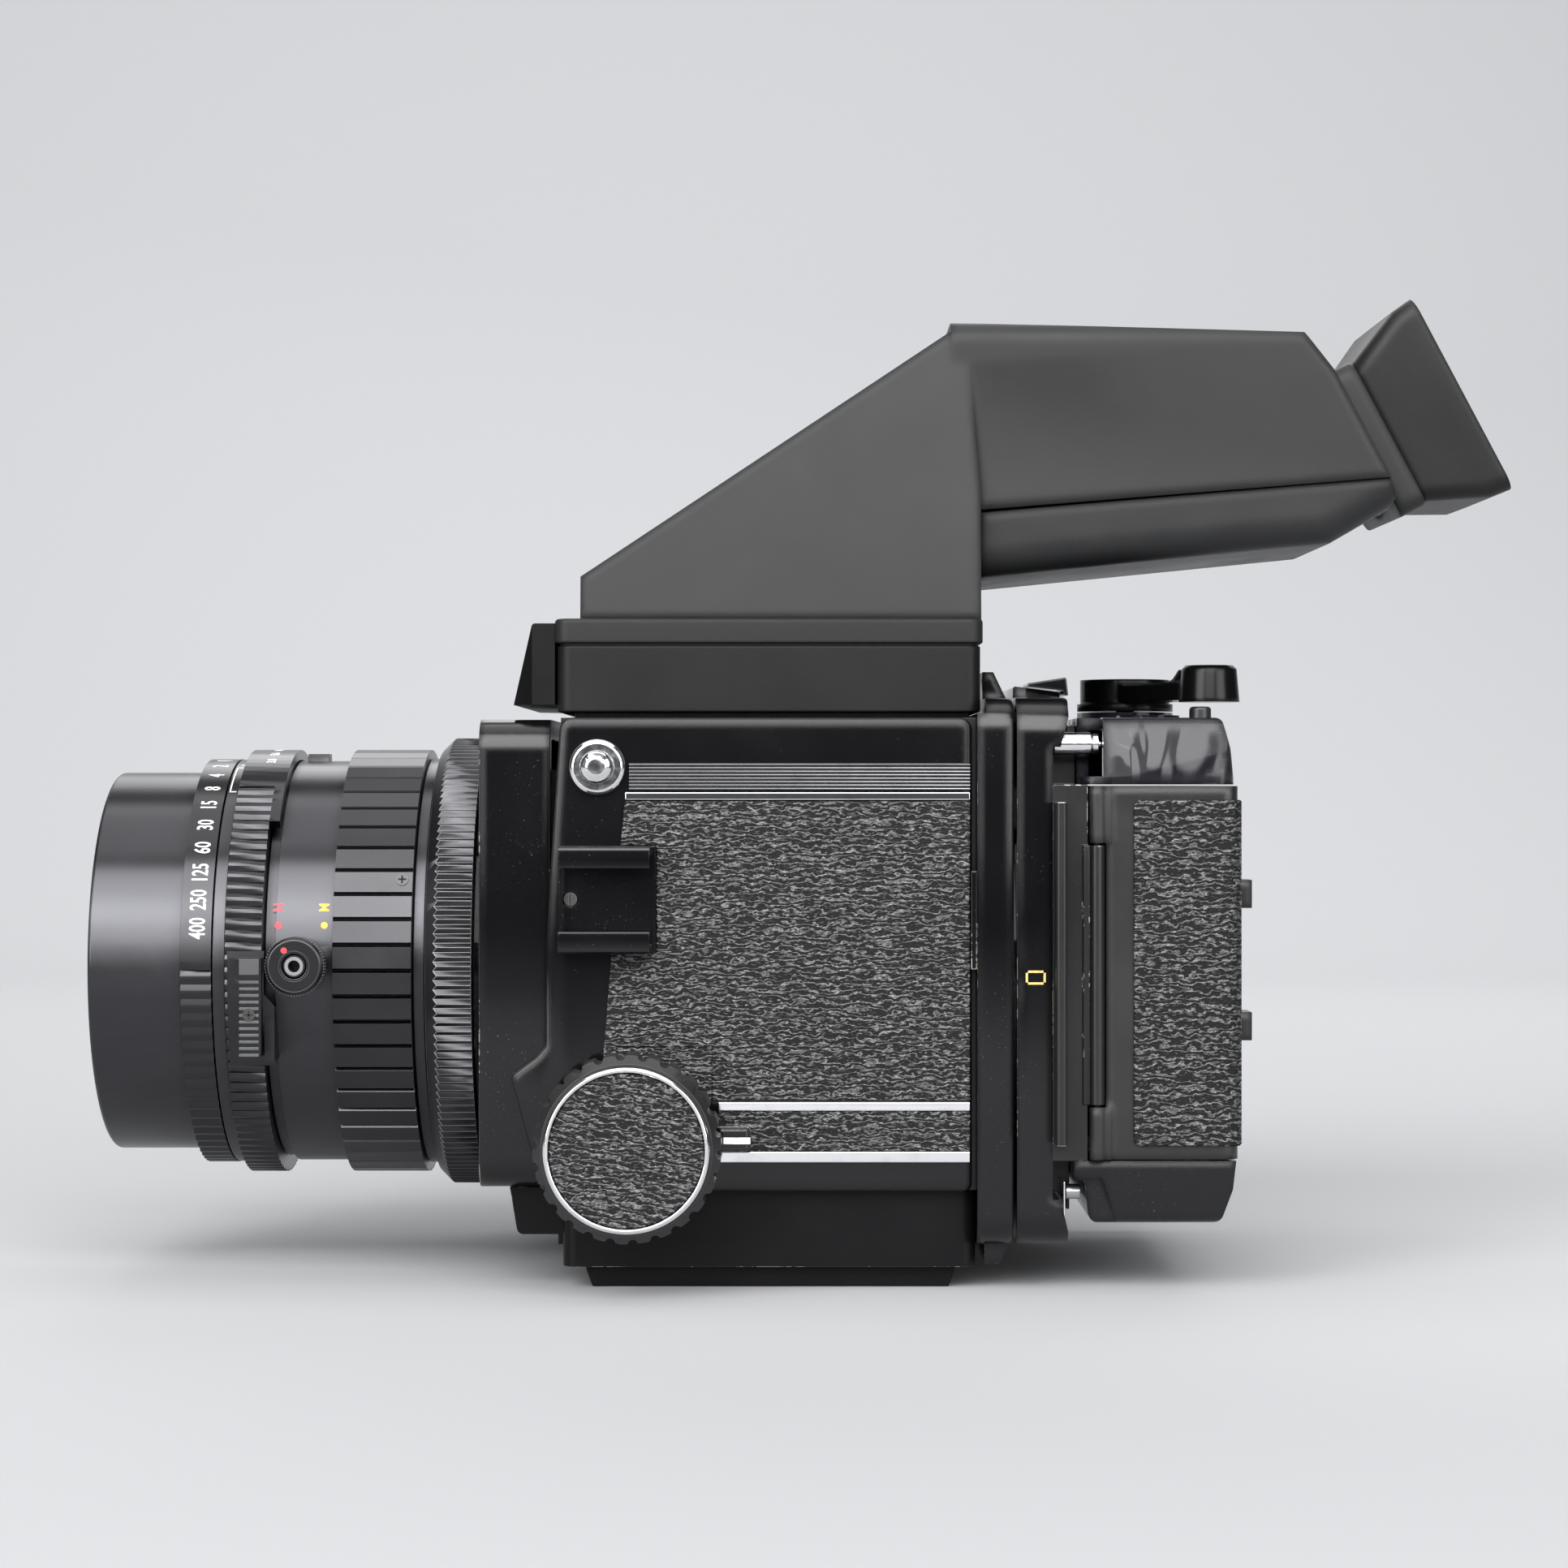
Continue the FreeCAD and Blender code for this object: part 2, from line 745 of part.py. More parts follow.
def plate(view, outline, span, rim=None, run=None):
    """An outline in a view, padded over a span of the third axis.

    A corner with a third value is rounded by it. rim rounds the face that lies at the pad's far
    end in its own frame: the low Y end in an XZ view, the high end otherwise. run holds a radius
    and a count: the outline's first edges are rounded by it at both ends of the pad.
    """
    body = doc.addObject("PartDesign::Body", "Plate")
    sketch = closed_sketch(body, outline)
    pad = body.newObject("PartDesign::Pad", "Pad")
    pad.Profile = sketch
    bind(pad, "Length", f"({span[1]}) - ({span[0]})")
    doc.recompute()
    depth = pad.Length.Value
    points = [sketch.getPoint(i, 1) for i in range(len(outline))]
    last = pad
    if run:
        chain = points[:run[1] + 1]

        def along(edge):
            ends = [v.Point for v in edge.Vertexes]
            if abs(ends[0].z - ends[-1].z) > 1e-4:
                return False
            return all(any(math.hypot(e.x - s.x, e.y - s.y) < 1e-4 for s in chain) for e in ends)
        last = round_edges(body, last, run[0], along)
    for radius in sorted({corner[2] for corner in outline if len(corner) > 2}):
        spots = [p for p, corner in zip(points, outline) if len(corner) > 2 and corner[2] == radius]

        def upright(edge, spots=spots):
            ends = [v.Point for v in edge.Vertexes]
            if len(ends) != 2 or abs(abs(ends[0].z - ends[1].z) - depth) > 1e-4:
                return False
            return any(math.hypot(ends[0].x - s.x, ends[0].y - s.y) < 1e-4 for s in spots)
        last = round_edges(body, last, radius, upright)
    if rim:
        last = round_edges(body, last, rim, lambda edge: all(
            abs(v.Point.z - depth) < 1e-4 for v in edge.Vertexes))
    body.Tip = last
    start = {"XY": ("0", "0", span[0]), "XZ": ("0", span[1], "0"), "YZ": (span[0], "0", "0")}[view]
    return place(body, VIEW_TURNS[view], *start)


def turned(axis, centre, outline):
    """A closed outline of (station along the axis, radius) turned about the axis."""
    body = doc.addObject("PartDesign::Body", "Turned")
    sketch = closed_sketch(body, outline)
    doc.recompute()
    spin = body.newObject("PartDesign::Revolution", "Turn")
    spin.Profile = sketch
    spin.ReferenceAxis = (sketch, ["H_Axis"])
    spin.Angle = 360.0
    body.Tip = spin
    base = list(centre)
    base.insert("XYZ".index(axis), "0")
    return place(body, AXIS_TURNS[axis], *base)


def tube(axis, centre, inner, outer, span):
    """A plain ring."""
    low, high = span
    return turned(axis, centre, [(low, inner), (high, inner), (high, outer), (low, outer)])


def join(*parts):
    """The parts as one solid."""
    fused = doc.addObject("Part::MultiFuse", "Join")
    fused.Shapes = list(parts)
    fused.Refine = True
    return fused


def cut(base, *tools):
    """The base without the tools."""
    cutter = tools[0]
    if len(tools) > 1:
        cutter = doc.addObject("Part::Compound", "Tools")
        cutter.Links = list(tools)
    result = doc.addObject("Part::Cut", "Cut")
    result.Base = base
    result.Tool = cutter
    result.Refine = True
    return result


def overlap(*parts):
    """What all the parts share."""
    result = doc.addObject("Part::MultiCommon", "Common")
    result.Shapes = list(parts)
    result.Refine = True
    return result


def mirrored(source):
    """The same part on the other side of the camera."""
    twin = doc.addObject("Part::Mirroring", "Mirrored")
    twin.Source = source
    twin.Normal = Vec(0, 1, 0)
    return twin


def group(*parts):
    """Separate solids that share one node."""
    together = doc.addObject("Part::Compound", "Group")
    together.Links = list(parts)
    return together


def shaped(shape, turn=None, base=None):
    """A part whose shape comes from a formula."""
    feature = doc.addObject("Part::Feature", "Shaped")
    feature.Shape = shape
    feature.Placement = FreeCAD.Placement(base or Vec(), turn or UP)
    return feature


def piece(label, obj):
    """Names a finished sub-part."""
    obj.Label = label
    PIECES.append(obj)
    return obj


def rectangle(x, y):
    """The four corners between two ends along each axis of a view."""
    return [(x[0], y[0]), (x[1], y[0]), (x[1], y[1]), (x[0], y[1])]


def rounded(x, y, radius):
    """The same four corners, rounded."""
    return [corner + (radius,) for corner in rectangle(x, y)]


def both_sides(half):
    """From the left to the right of the camera's middle plane."""
    return (f"-({half})", half)


LENS = ("0", "lens_axis")
FOCUS = ("focus_x", "focus_z")


def polar(radius, angle):
    """A point of a circle in the lens's cross-section, in Y and Z from the axis."""
    return Vec(0, radius * math.cos(angle), radius * math.sin(angle))


def toothed_face(radius, deep, count, bore, start=0.0, sweep=2 * math.pi, land=0.0):
    """A disc with triangular or flat-topped teeth over part of its rim, and a bore."""
    step = sweep / count
    points = []
    for i in range(count):
        angle = start + i * step
        points.append(polar(radius - deep, angle))
        points.append(polar(radius, angle + step * (0.5 - land / 2)))
        if land:
            points.append(polar(radius, angle + step * (0.5 + land / 2)))
            points.append(polar(radius - deep, angle + step * 0.999))
    points.append(polar(radius - deep, start + sweep))
    edges = [Part.LineSegment(a, b).toShape() for a, b in zip(points, points[1:])]
    rest = 2 * math.pi - sweep
    if rest > 1e-6:
        middle = polar(radius, start + sweep + rest / 2)
        first, last = polar(radius, start + sweep), polar(radius, start)
        edges.append(Part.LineSegment(points[-1], first).toShape())
        edges.append(Part.Arc(first, middle, last).toShape())
        edges.append(Part.LineSegment(last, points[0]).toShape())
    outer = Part.Face(Part.Wire(edges))
    hole = Part.Face(Part.Wire(Part.makeCircle(bore, Vec(), Vec(1, 0, 0))))
    return outer.cut(hole)


def toothed_ring(front, rear, *shape, **options):
    """A toothed disc with length, on the lens axis."""
    solid = toothed_face(*shape, **options).extrude(Vec(rear - front, 0, 0))
    return shaped(solid, base=Vec(front, 0, number("lens_axis")))


# Body casting: one box with the mirror chamber, the rack bays and the focus shaft's bearings
def body_casting():
    shell = block(("body_front", "body_rear"), both_sides("casting_half"), ("body_low", "body_top"))
    chamber = block(("body_front + casting_front_wall", "body_rear + 1"), both_sides("chamber_half"),
                    ("chamber_floor", "body_top - chamber_roof"))
    light = both_sides("screen_half - screen_ledge")
    roof = block(light, light, ("body_top - chamber_roof - 1", "body_top + seat_ring_high + 1"))
    recess = block(both_sides("screen_half + seat_gap"), both_sides("screen_half + seat_gap"),
                   ("body_top - screen_thick", "body_top + seat_ring_high + 1"))
    seat = block(both_sides("screen_half + 4"), both_sides("screen_half + 4"),
                 ("body_top", "body_top + seat_ring_high"))
    window = block(("body_front - 1", "body_front + casting_front_wall + 1"),
                   both_sides("front_window_half"), ("chamber_floor", "front_window_top"))
    pocket = block(("body_front + casting_front_wall", "body_rear - casting_front_wall"),
                   both_sides("under_pocket_half"), ("body_low - 1", "floor_slab_low"))
    bay = block(("body_front - 1", "rail_bay_rear"), ("rail_bay_inner", "casting_half + 1"),
                ("rail_bay_low", "rail_bay_high"))
    bore = rod("Y", FOCUS, "shaft_radius + shaft_fit", both_sides("casting_half + 1"))
    body = cut(join(shell, seat), chamber, roof, recess, window, pocket, bay, mirrored(bay), bore)
    return piece("body_casting", body)


# Side covers: the front edge leans out to the cheek that hides the rack
def side_cover(span, rim):
    outline = [
        ("body_front", "body_top", "2.5"),
        ("cover_mid_front", "lens_axis + 3"),
        ("cover_mid_front", "cheek_high + 6"),
        ("cover_mid_front - 1.8", "cheek_high + 3.8"),
        ("cheek_front", "cheek_high", "1.2"),
        ("cheek_front + 1", "cheek_high - 3.4"),
        ("cheek_low_front", "body_low", "1.5"),
        ("cover_rear", "body_low", "1.5"),
        ("cover_rear", "body_top", "2.5"),
    ]
    skin = plate("XZ", outline, span, rim)
    bore = rod("Y", FOCUS, "cover_bore", both_sides("casting_half + cover_thick + 1"))
    return cut(skin, bore)


def side_covers():
    span = ("-(casting_half + cover_thick)", "-casting_half")
    left = side_cover(span, "0.9")
    boss = tube("Y", FOCUS, "knob_neck + 2 * turning_gap", "lock_ring_outer - 0.6",
                ("-(lock_plate_in - seat_gap)", "-(casting_half + cover_thick - 0.5)"))
    piece("left_side_cover", join(left, boss))
    right = mirrored(side_cover(span, "0.9"))
    pin = rod("Y", ("cocking_x", "cocking_z"), "cocking_pin",
              ("casting_half + cover_thick - 0.5", "cocking_out"))
    boss = rod("Y", ("cocking_x", "cocking_z"), "cocking_hub - 0.5",
               ("casting_half + cover_thick - 0.5", "cocking_in - turning_gap"))
    piece("right_side_cover", join(right, pin, boss))


FACE = "(casting_half + cover_thick)"


def side_panel(with_shoe):
    """The main leather panel and the strip of leather between the two lower chrome strips."""
    outline = [
        ("panel_front", "panel_top"),
        ("panel_rear", "panel_top"),
        ("panel_rear", "panel_low"),
        ("panel_knob_edge", "panel_low"),
        ("panel_knob_edge", "panel_knee"),
        ("panel_front_low", "panel_knee"),
        ("panel_front - 1", "panel_top - 10"),
    ]
    span = (f"-({FACE} + panel_thick)", f"-{FACE}")
    panel = plate("XZ", outline, span)
    if with_shoe:
        gap = "seat_gap"
        panel = cut(panel, block((f"shoe_front - {gap}", f"shoe_rear + {gap}"),
                                 (f"-({FACE} + 2)", f"-{FACE} + 1"),
                                 (f"shoe_low - {gap}", f"shoe_high + {gap}")))
    strip = block(("strip_front", "panel_rear"), span,
                  ("lower_strip_high + seat_gap", "middle_strip_low - seat_gap"))
    return panel, strip


def leather_panels():
    left = side_panel(True)
    right = []
    for part in side_panel(False):
        hub = rod("Y", ("cocking_x", "cocking_z"), "cocking_hub + 1", both_sides(f"{FACE} + panel_thick + 1"))
        right.append(mirrored(cut(part, hub)))
    piece("body_leather", group(*left, *right))


def chrome_strips():
    strips = []
    for front, low, high in (("panel_front", "upper_strip_low", "upper_strip_high"),
                             ("strip_front", "middle_strip_low", "middle_strip_high"),
                             ("strip_front", "lower_strip_low", "lower_strip_high")):
        strip = block((front, "panel_rear"), (f"-({FACE} + strip_thick)", f"-{FACE}"), (low, high))
        strips += [strip, mirrored(strip)]
    piece("chrome_strips", group(*strips))


def ribbed_trim_plates():
    """A long plate whose ribs run along the camera."""
    ribs = int(number("trim_rib_count"))
    pitch = f"((trim_high - trim_low) / {ribs})"
    face = f"-({FACE} + trim_thick)"
    outline = [(f"-{FACE}", "trim_high"), (f"-{FACE}", "trim_low")]
    for i in range(ribs):
        foot = f"trim_low + {i} * {pitch}"
        outline.append((f"{face} + trim_groove", foot))
        outline.append((face, f"{foot} + 0.25 * {pitch}"))
        outline.append((face, f"{foot} + 0.75 * {pitch}"))
    outline.append((f"{face} + trim_groove", "trim_high"))
    trim = plate("YZ", outline, ("trim_front", "panel_rear"))
    piece("ribbed_trim_plates", group(trim, mirrored(trim)))


def strap_lugs():
    outline = [
        (FACE, "0"),
        (FACE, "lug_base_radius"),
        (f"{FACE} + 1.4", "lug_base_radius"),
        (f"{FACE} + 2", "lug_base_radius - 0.7"),
        (f"{FACE} + 2", "lug_neck_radius"),
        (f"{FACE} + 4", "lug_neck_radius"),
        (f"{FACE} + 4.2", "lug_dome_radius"),
        (f"{FACE} + 5.2", "lug_dome_radius - 0.3"),
        (f"{FACE} + lug_reach", "lug_dome_radius - 1.6"),
        (f"{FACE} + lug_reach", "0"),
    ]
    lug = turned("Y", ("lug_front", "lug_high"), outline)
    piece("strap_lugs", group(lug, mirrored(lug)))


def accessory_shoe():
    face = f"-({FACE} + shoe_reach)"
    floor = f"-({FACE} + shoe_plate)"
    middle = "((shoe_low + shoe_high) / 2)"
    outline = [
        (f"-{FACE}", "shoe_high"),
        (f"-{FACE}", "shoe_low"),
        (face, "shoe_low", "0.9"),
        (face, f"{middle} - shoe_gap / 2", "0.3"),
        (f"{face} + shoe_lip_depth", f"{middle} - shoe_gap / 2"),
        (f"{face} + shoe_lip_depth", "shoe_low + shoe_wall"),
        (floor, "shoe_low + shoe_wall"),
        (floor, "shoe_high - shoe_wall"),
        (f"{face} + shoe_lip_depth", "shoe_high - shoe_wall"),
        (f"{face} + shoe_lip_depth", f"{middle} + shoe_gap / 2"),
        (face, f"{middle} + shoe_gap / 2", "0.3"),
        (face, "shoe_high", "0.9"),
    ]
    channel = plate("YZ", outline, ("shoe_front", "shoe_rear"))
    trim_back = block(("shoe_lip_rear", "shoe_rear + 1"), (f"{face} - 1", floor),
                      ("shoe_low - 1", "shoe_high + 1"))
    hole = rod("Y", ("shoe_screw_front", middle), "shoe_screw_radius + seat_gap",
               (f"{floor} - 1", f"-{FACE} + 1"))
    stop = block(("shoe_front", "shoe_front + 0.8"), (f"{floor} - 1.6", floor),
                 ("shoe_low + shoe_wall", "shoe_high - shoe_wall"))
    piece("accessory_shoe", join(cut(channel, trim_back, hole), stop))
    screw = rod("Y", ("shoe_screw_front", middle), "shoe_screw_radius",
                (f"{floor} - shoe_screw_head", f"-{FACE}"))
    slot = block(("shoe_screw_front - shoe_screw_slot / 2", "shoe_screw_front + shoe_screw_slot / 2"),
                 (f"{floor} - shoe_screw_head - 1", f"{floor} - shoe_screw_head + 0.5"),
                 ("shoe_low", "shoe_high"))
    piece("shoe_screw", cut(screw, slot))


# Base housing with the apron that carries the release, the foot and its threaded bush
def base_housing():
    outer = plate("XY", rounded(("base_front", "base_rear"), both_sides("base_half"), "3"),
                  ("base_low", "body_low"))
    hollow = block(("base_front + base_wall", "base_rear - base_wall"),
                   both_sides("base_half - base_wall"), ("base_low + base_wall", "body_low + 1"))
    apron = plate("XZ", [
        ("apron_front", "body_low - 0.2"),
        ("apron_low_front", "apron_low", "1.4"),
        ("base_front - apron_step", "apron_low"),
        ("base_front - apron_step", "apron_low - 2"),
        ("base_front + 1", "apron_low - 2"),
        ("base_front + 1", "body_low - 0.2"),
    ], ("apron_left", "apron_right"))
    bore = rod("X", ("release_side", "release_height"), "release_radius + 0.3",
               ("apron_front - 1", "base_front + base_wall + 1"))
    bush = rod("Z", ("0", "0"), "bush_outer + seat_gap", ("base_low - 1", "base_low + base_wall + 1"))
    piece("base_housing", cut(join(outer, apron), hollow, bore, bush))


def tripod_foot():
    foot = plate("XZ", [
        ("foot_front", "base_low"),
        ("foot_front", "base_low - 1"),
        ("foot_front + foot_bevel", "0", "0.4"),
        ("foot_rear - foot_bevel", "0", "0.4"),
        ("foot_rear", "base_low - 1"),
        ("foot_rear", "base_low"),
    ], both_sides("foot_half"))
    seat = rod("Z", ("0", "0"), "bush_outer + seat_gap", ("-1", "base_low + 1"))
    piece("tripod_plate", cut(foot, seat))
    bush = turned("Z", ("0", "0"), [
        ("0", "socket_radius"),
        ("bush_high", "socket_radius"),
        ("bush_high", "bush_outer"),
        ("0", "bush_outer"),
    ])
    piece("tripod_bush", bush)


def release():
    button = turned("X", ("release_side", "release_height"), [
        ("release_front", "0"),
        ("release_front", "release_radius - 0.6"),
        ("release_front + 0.6", "release_radius"),
        ("release_rear", "release_radius"),
        ("release_rear", "0"),
    ])
    thread = rod("X", ("release_side", "release_height"), "1", ("release_front - 1", "release_front + 5"))
    piece("release_button", cut(button, thread))
    ring = turned("X", ("release_side", "release_height"), [
        ("collar_front", "release_radius + turning_gap"),
        ("collar_front", "collar_outer - collar_bevel"),
        ("collar_front + collar_bevel", "collar_outer"),
        ("collar_rear", "collar_outer"),
        ("collar_rear", "release_radius + turning_gap"),
    ])
    ear = block(("collar_front + collar_bevel", "collar_rear"),
                ("release_side - collar_outer - ear_reach", "release_side - collar_outer + 1"),
                ("release_height - ear_half", "release_height + ear_half"))
    piece("release_lock_ring", join(ring, ear))


def focusing_screen():
    screen = block(both_sides("screen_half"), both_sides("screen_half"),
                   ("body_top - screen_thick", "body_top"))
    piece("focusing_screen", screen)


# Mirror: the hinge sits where the folded light path is as long as the straight one
MIRROR_Z = "(lens_axis + mirror_hinge_x - (film_plane - (body_top - screen_thick - lens_axis)))"
FLAT = ("mirror_hinge_x", MIRROR_Z)


def tilted(part):
    """Turns a mirror part, drawn along -X from the hinge, down to its rest at 45 degrees."""
    part.Placement = FreeCAD.Placement(Vec(), FreeCAD.Rotation(Vec(0, 1, 0), -45))
    bind(part, "Placement.Base.x", "mirror_hinge_x")
    bind(part, "Placement.Base.z", MIRROR_Z)
    return part


def mirror():
    glass = block(("-mirror_length", "-mirror_glass_start"), both_sides("mirror_glass_half"),
                  ("-mirror_glass_thick", "0"))
    piece("mirror_glass", tilted(group(glass)))
    back = block(("-mirror_length - 0.6", "0"), both_sides("mirror_half"),
                 ("-mirror_glass_thick - mirror_plate_thick", "-mirror_glass_thick"))
    spine = block(("-mirror_glass_start + 1", "mirror_pin_radius"), both_sides("mirror_half"),
                  ("-mirror_glass_thick - mirror_plate_thick", "mirror_pin_radius"))
    axle = rod("Y", ("0", "0"), "mirror_pin_radius", both_sides("mirror_pin_half"))
    piece("mirror_holder", tilted(join(back, spine, axle)))


def cocking_lever():
    lean = number("cocking_lean")
    hub = rod("Y", ("0", "0"), "cocking_hub", ("cocking_in", "cocking_out"))
    arm = block(both_sides("cocking_arm_half"), ("cocking_in", "cocking_out - 0.8"),
                ("0", "cocking_arm_length"))
    grip = rod("Y", ("0", "cocking_arm_length"), "cocking_grip_radius",
               ("cocking_in", "cocking_grip_out"))
    bore = rod("Y", ("0", "0"), "cocking_pin + turning_gap", ("cocking_in - 1", "cocking_out + 1"))
    lever = cut(join(hub, arm, grip), bore)
    lever.Placement = FreeCAD.Placement(Vec(), FreeCAD.Rotation(Vec(0, 1, 0), lean))
    bind(lever, "Placement.Base.x", "cocking_x")
    bind(lever, "Placement.Base.z", "cocking_z")
    piece("cocking_lever", lever)


# Rear flange: carries the revolving adapter on a ring and the mirror's hinge
def rear_flange():
    corners = rounded(both_sides("flange_half"), ("flange_low", "flange_top"), "flange_corner")
    slab = plate("YZ", corners, ("body_rear", "flange_rear"), "1")
    step = block(("body_rear - 1", "stop_front - 0.4"), both_sides("flange_half + 1"),
                 ("cap_clear", "flange_top + 1"))
    ring = tube("X", LENS, "bearing_inner", "bearing_outer", ("flange_rear - 1", "bearing_rear"))
    window = block(("body_rear - 1", "bearing_rear + 1"), both_sides("flange_window_half"),
                   ("flange_window_low", "flange_window_top"))
    hinge = rod("Y", FLAT, "mirror_pin_radius + mirror_pin_fit", both_sides("mirror_pin_half + 1"))
    stop = plate("XZ", [
        ("stop_front", "flange_top - 1"),
        ("stop_rear", "flange_top - 1"),
        ("stop_rear", "flange_top"),
        ("stop_front + 2.2", "stop_top"),
        ("stop_front", "stop_top"),
    ], both_sides("stop_half"))
    foot = plate("XZ", [
        ("flange_foot_front", "flange_low + 0.5"),
        ("flange_foot_front", "flange_foot_low"),
        ("flange_foot_rear - 2.3", "flange_foot_low", "0.5"),
        ("flange_foot_rear", "flange_low"),
        ("flange_foot_rear", "flange_low + 0.5"),
    ], both_sides("flange_foot_half"))
    piece("rear_flange", cut(join(cut(slab, step), ring, stop, foot), window, hinge))
    grip = block(("tab_front", "tab_rear"), (f"-({FACE} + tab_thick)", f"-({FACE} + 0.1)"),
                 ("tab_low", "tab_high"))
    shank = block(("tab_shank_front", "tab_rear"), (f"-({FACE} + 0.2)", "-(casting_half + 0.2)"),
                  ("tab_low + 1.5", "tab_high - 1.5"))
    piece("back_release_tab", join(grip, shank))


# Front standard: a shallow box that carries the lens, with the mount's flange in front
def front_plate():
    corners = rounded(both_sides("standard_half"), ("standard_low", "standard_top"), "standard_corner")
    slab = plate("YZ", corners, ("standard_front", "standard_rear"))
    hollow = block(("standard_front + standard_face", "standard_rear + 1"),
                   both_sides("standard_half - standard_wall"),
                   ("standard_low + standard_wall", "standard_top - standard_wall"))
    flange = tube("X", LENS, "mount_bore", "mount_outer", ("mount_front", "standard_front + 1"))
    bore = rod("X", LENS, "mount_bore", ("mount_front - 1", "standard_front + standard_face + 1"))
    piece("front_plate", cut(join(slab, flange), hollow, bore))


def bellows():
    """A square pleated tube, folded small between the standard and the casting."""
    front = number("standard_front") + number("standard_face")
    rear = number("body_front")
    half = number("bellows_half")
    fold = number("bellows_fold")
    wall = number("bellows_wall")
    low, high = number("bellows_low"), number("bellows_high")
    steps = 2 * int(number("bellows_pleats"))

    def skin(inset):
        wires = []
        for i in range(steps + 1):
            shrink = inset + (fold if i % 2 else 0.0)
            x = front + (rear - front) * i / steps
            corners = [
                Vec(x, -half + shrink, low + shrink),
                Vec(x, half - shrink, low + shrink),
                Vec(x, half - shrink, high - shrink),
                Vec(x, -half + shrink, high - shrink),
            ]
            wires.append(Part.makePolygon(corners + corners[:1]))
        return Part.makeLoft(wires, True, True)
    piece("bellows", shaped(skin(0.0).cut(skin(wall))))


# Racks hang their teeth onto the pinions from above
def rack_half(side):
    module = number("tooth_module")
    pitch = math.pi * module
    line = number("focus_z") + module * number("pinion_teeth") / 2
    top = number("rack_top")
    thin = number("tooth_backlash") / 4
    lean = math.tan(math.radians(20))
    front, rear = number("standard_rear"), number("rack_rear")
    centre = number("focus_x")
    first = math.ceil((front + pitch - centre) / pitch)
    last = math.floor((rear - pitch - centre) / pitch)
    points = [Vec(front, 0, top), Vec(front, 0, line + 1.2 * module)]
    for i in range(first, last + 1):
        middle = centre + i * pitch
        root = pitch / 4 - thin + 1.2 * module * lean
        tip = pitch / 4 - thin - module * lean
        points.append(Vec(middle - root, 0, line + 1.2 * module))
        points.append(Vec(middle - tip, 0, line - module))
        points.append(Vec(middle + tip, 0, line - module))
        points.append(Vec(middle + root, 0, line + 1.2 * module))
    points += [Vec(rear, 0, line + 1.2 * module), Vec(rear, 0, top)]
    face = Part.Face(Part.makePolygon(points + points[:1]))
    inner, outer = number("rack_inner"), number("rack_outer")
    shape = face.extrude(Vec(0, outer - inner, 0))
    shape.translate(Vec(0, inner if side > 0 else -outer, 0))
    return shape


def focus_racks():
    piece("focus_racks", shaped(Part.makeCompound([rack_half(1), rack_half(-1)])))


def pinion_face():
    """An involute spur pinion with a tooth space straight up, where the rack's tooth lies."""
    module = number("tooth_module")
    teeth = int(number("pinion_teeth"))
    pitch_radius = module * teeth / 2
    base_radius = pitch_radius * math.cos(math.radians(20))
    tip_radius = pitch_radius + module
    root_radius = pitch_radius - 1.2 * module
    roll = math.tan(math.radians(20)) - math.radians(20)
    half_tooth = math.pi / (2 * teeth) - number("tooth_backlash") / (4 * pitch_radius)

    def flank(radius):
        if radius <= base_radius:
            return half_tooth + roll
        spread = math.acos(base_radius / radius)
        return half_tooth + roll - (math.tan(spread) - spread)
    radii = [
        root_radius,
        base_radius,
        base_radius + 0.3 * module,
        pitch_radius,
        pitch_radius + 0.5 * module,
        tip_radius,
    ]
    points = []
    for i in range(teeth):
        middle = math.pi / 2 + (i + 0.5) * 2 * math.pi / teeth
        for radius in radii:
            angle = middle - flank(radius)
            points.append(Vec(radius * math.cos(angle), 0, radius * math.sin(angle)))
        for radius in reversed(radii):
            angle = middle + flank(radius)
            points.append(Vec(radius * math.cos(angle), 0, radius * math.sin(angle)))
    return Part.Face(Part.makePolygon(points + points[:1]))


def focus_shaft():
    inner, outer = number("pinion_inner"), number("pinion_outer")
    axis = Vec(number("focus_x"), 0, number("focus_z"))
    reach = number("knob_back") + 2
    shaft = Part.makeCylinder(number("shaft_radius"), 2 * reach, Vec(0, -reach, 0), Vec(0, 1, 0))
    wheel = pinion_face().extrude(Vec(0, outer - inner, 0))
    parts = []
    for side in (inner, -outer):
        gear = wheel.copy()
        gear.translate(Vec(0, side, 0))
        parts.append(gear)
    piece("focus_shaft", shaped(shaft.multiFuse(parts).removeSplitter(), base=axis))


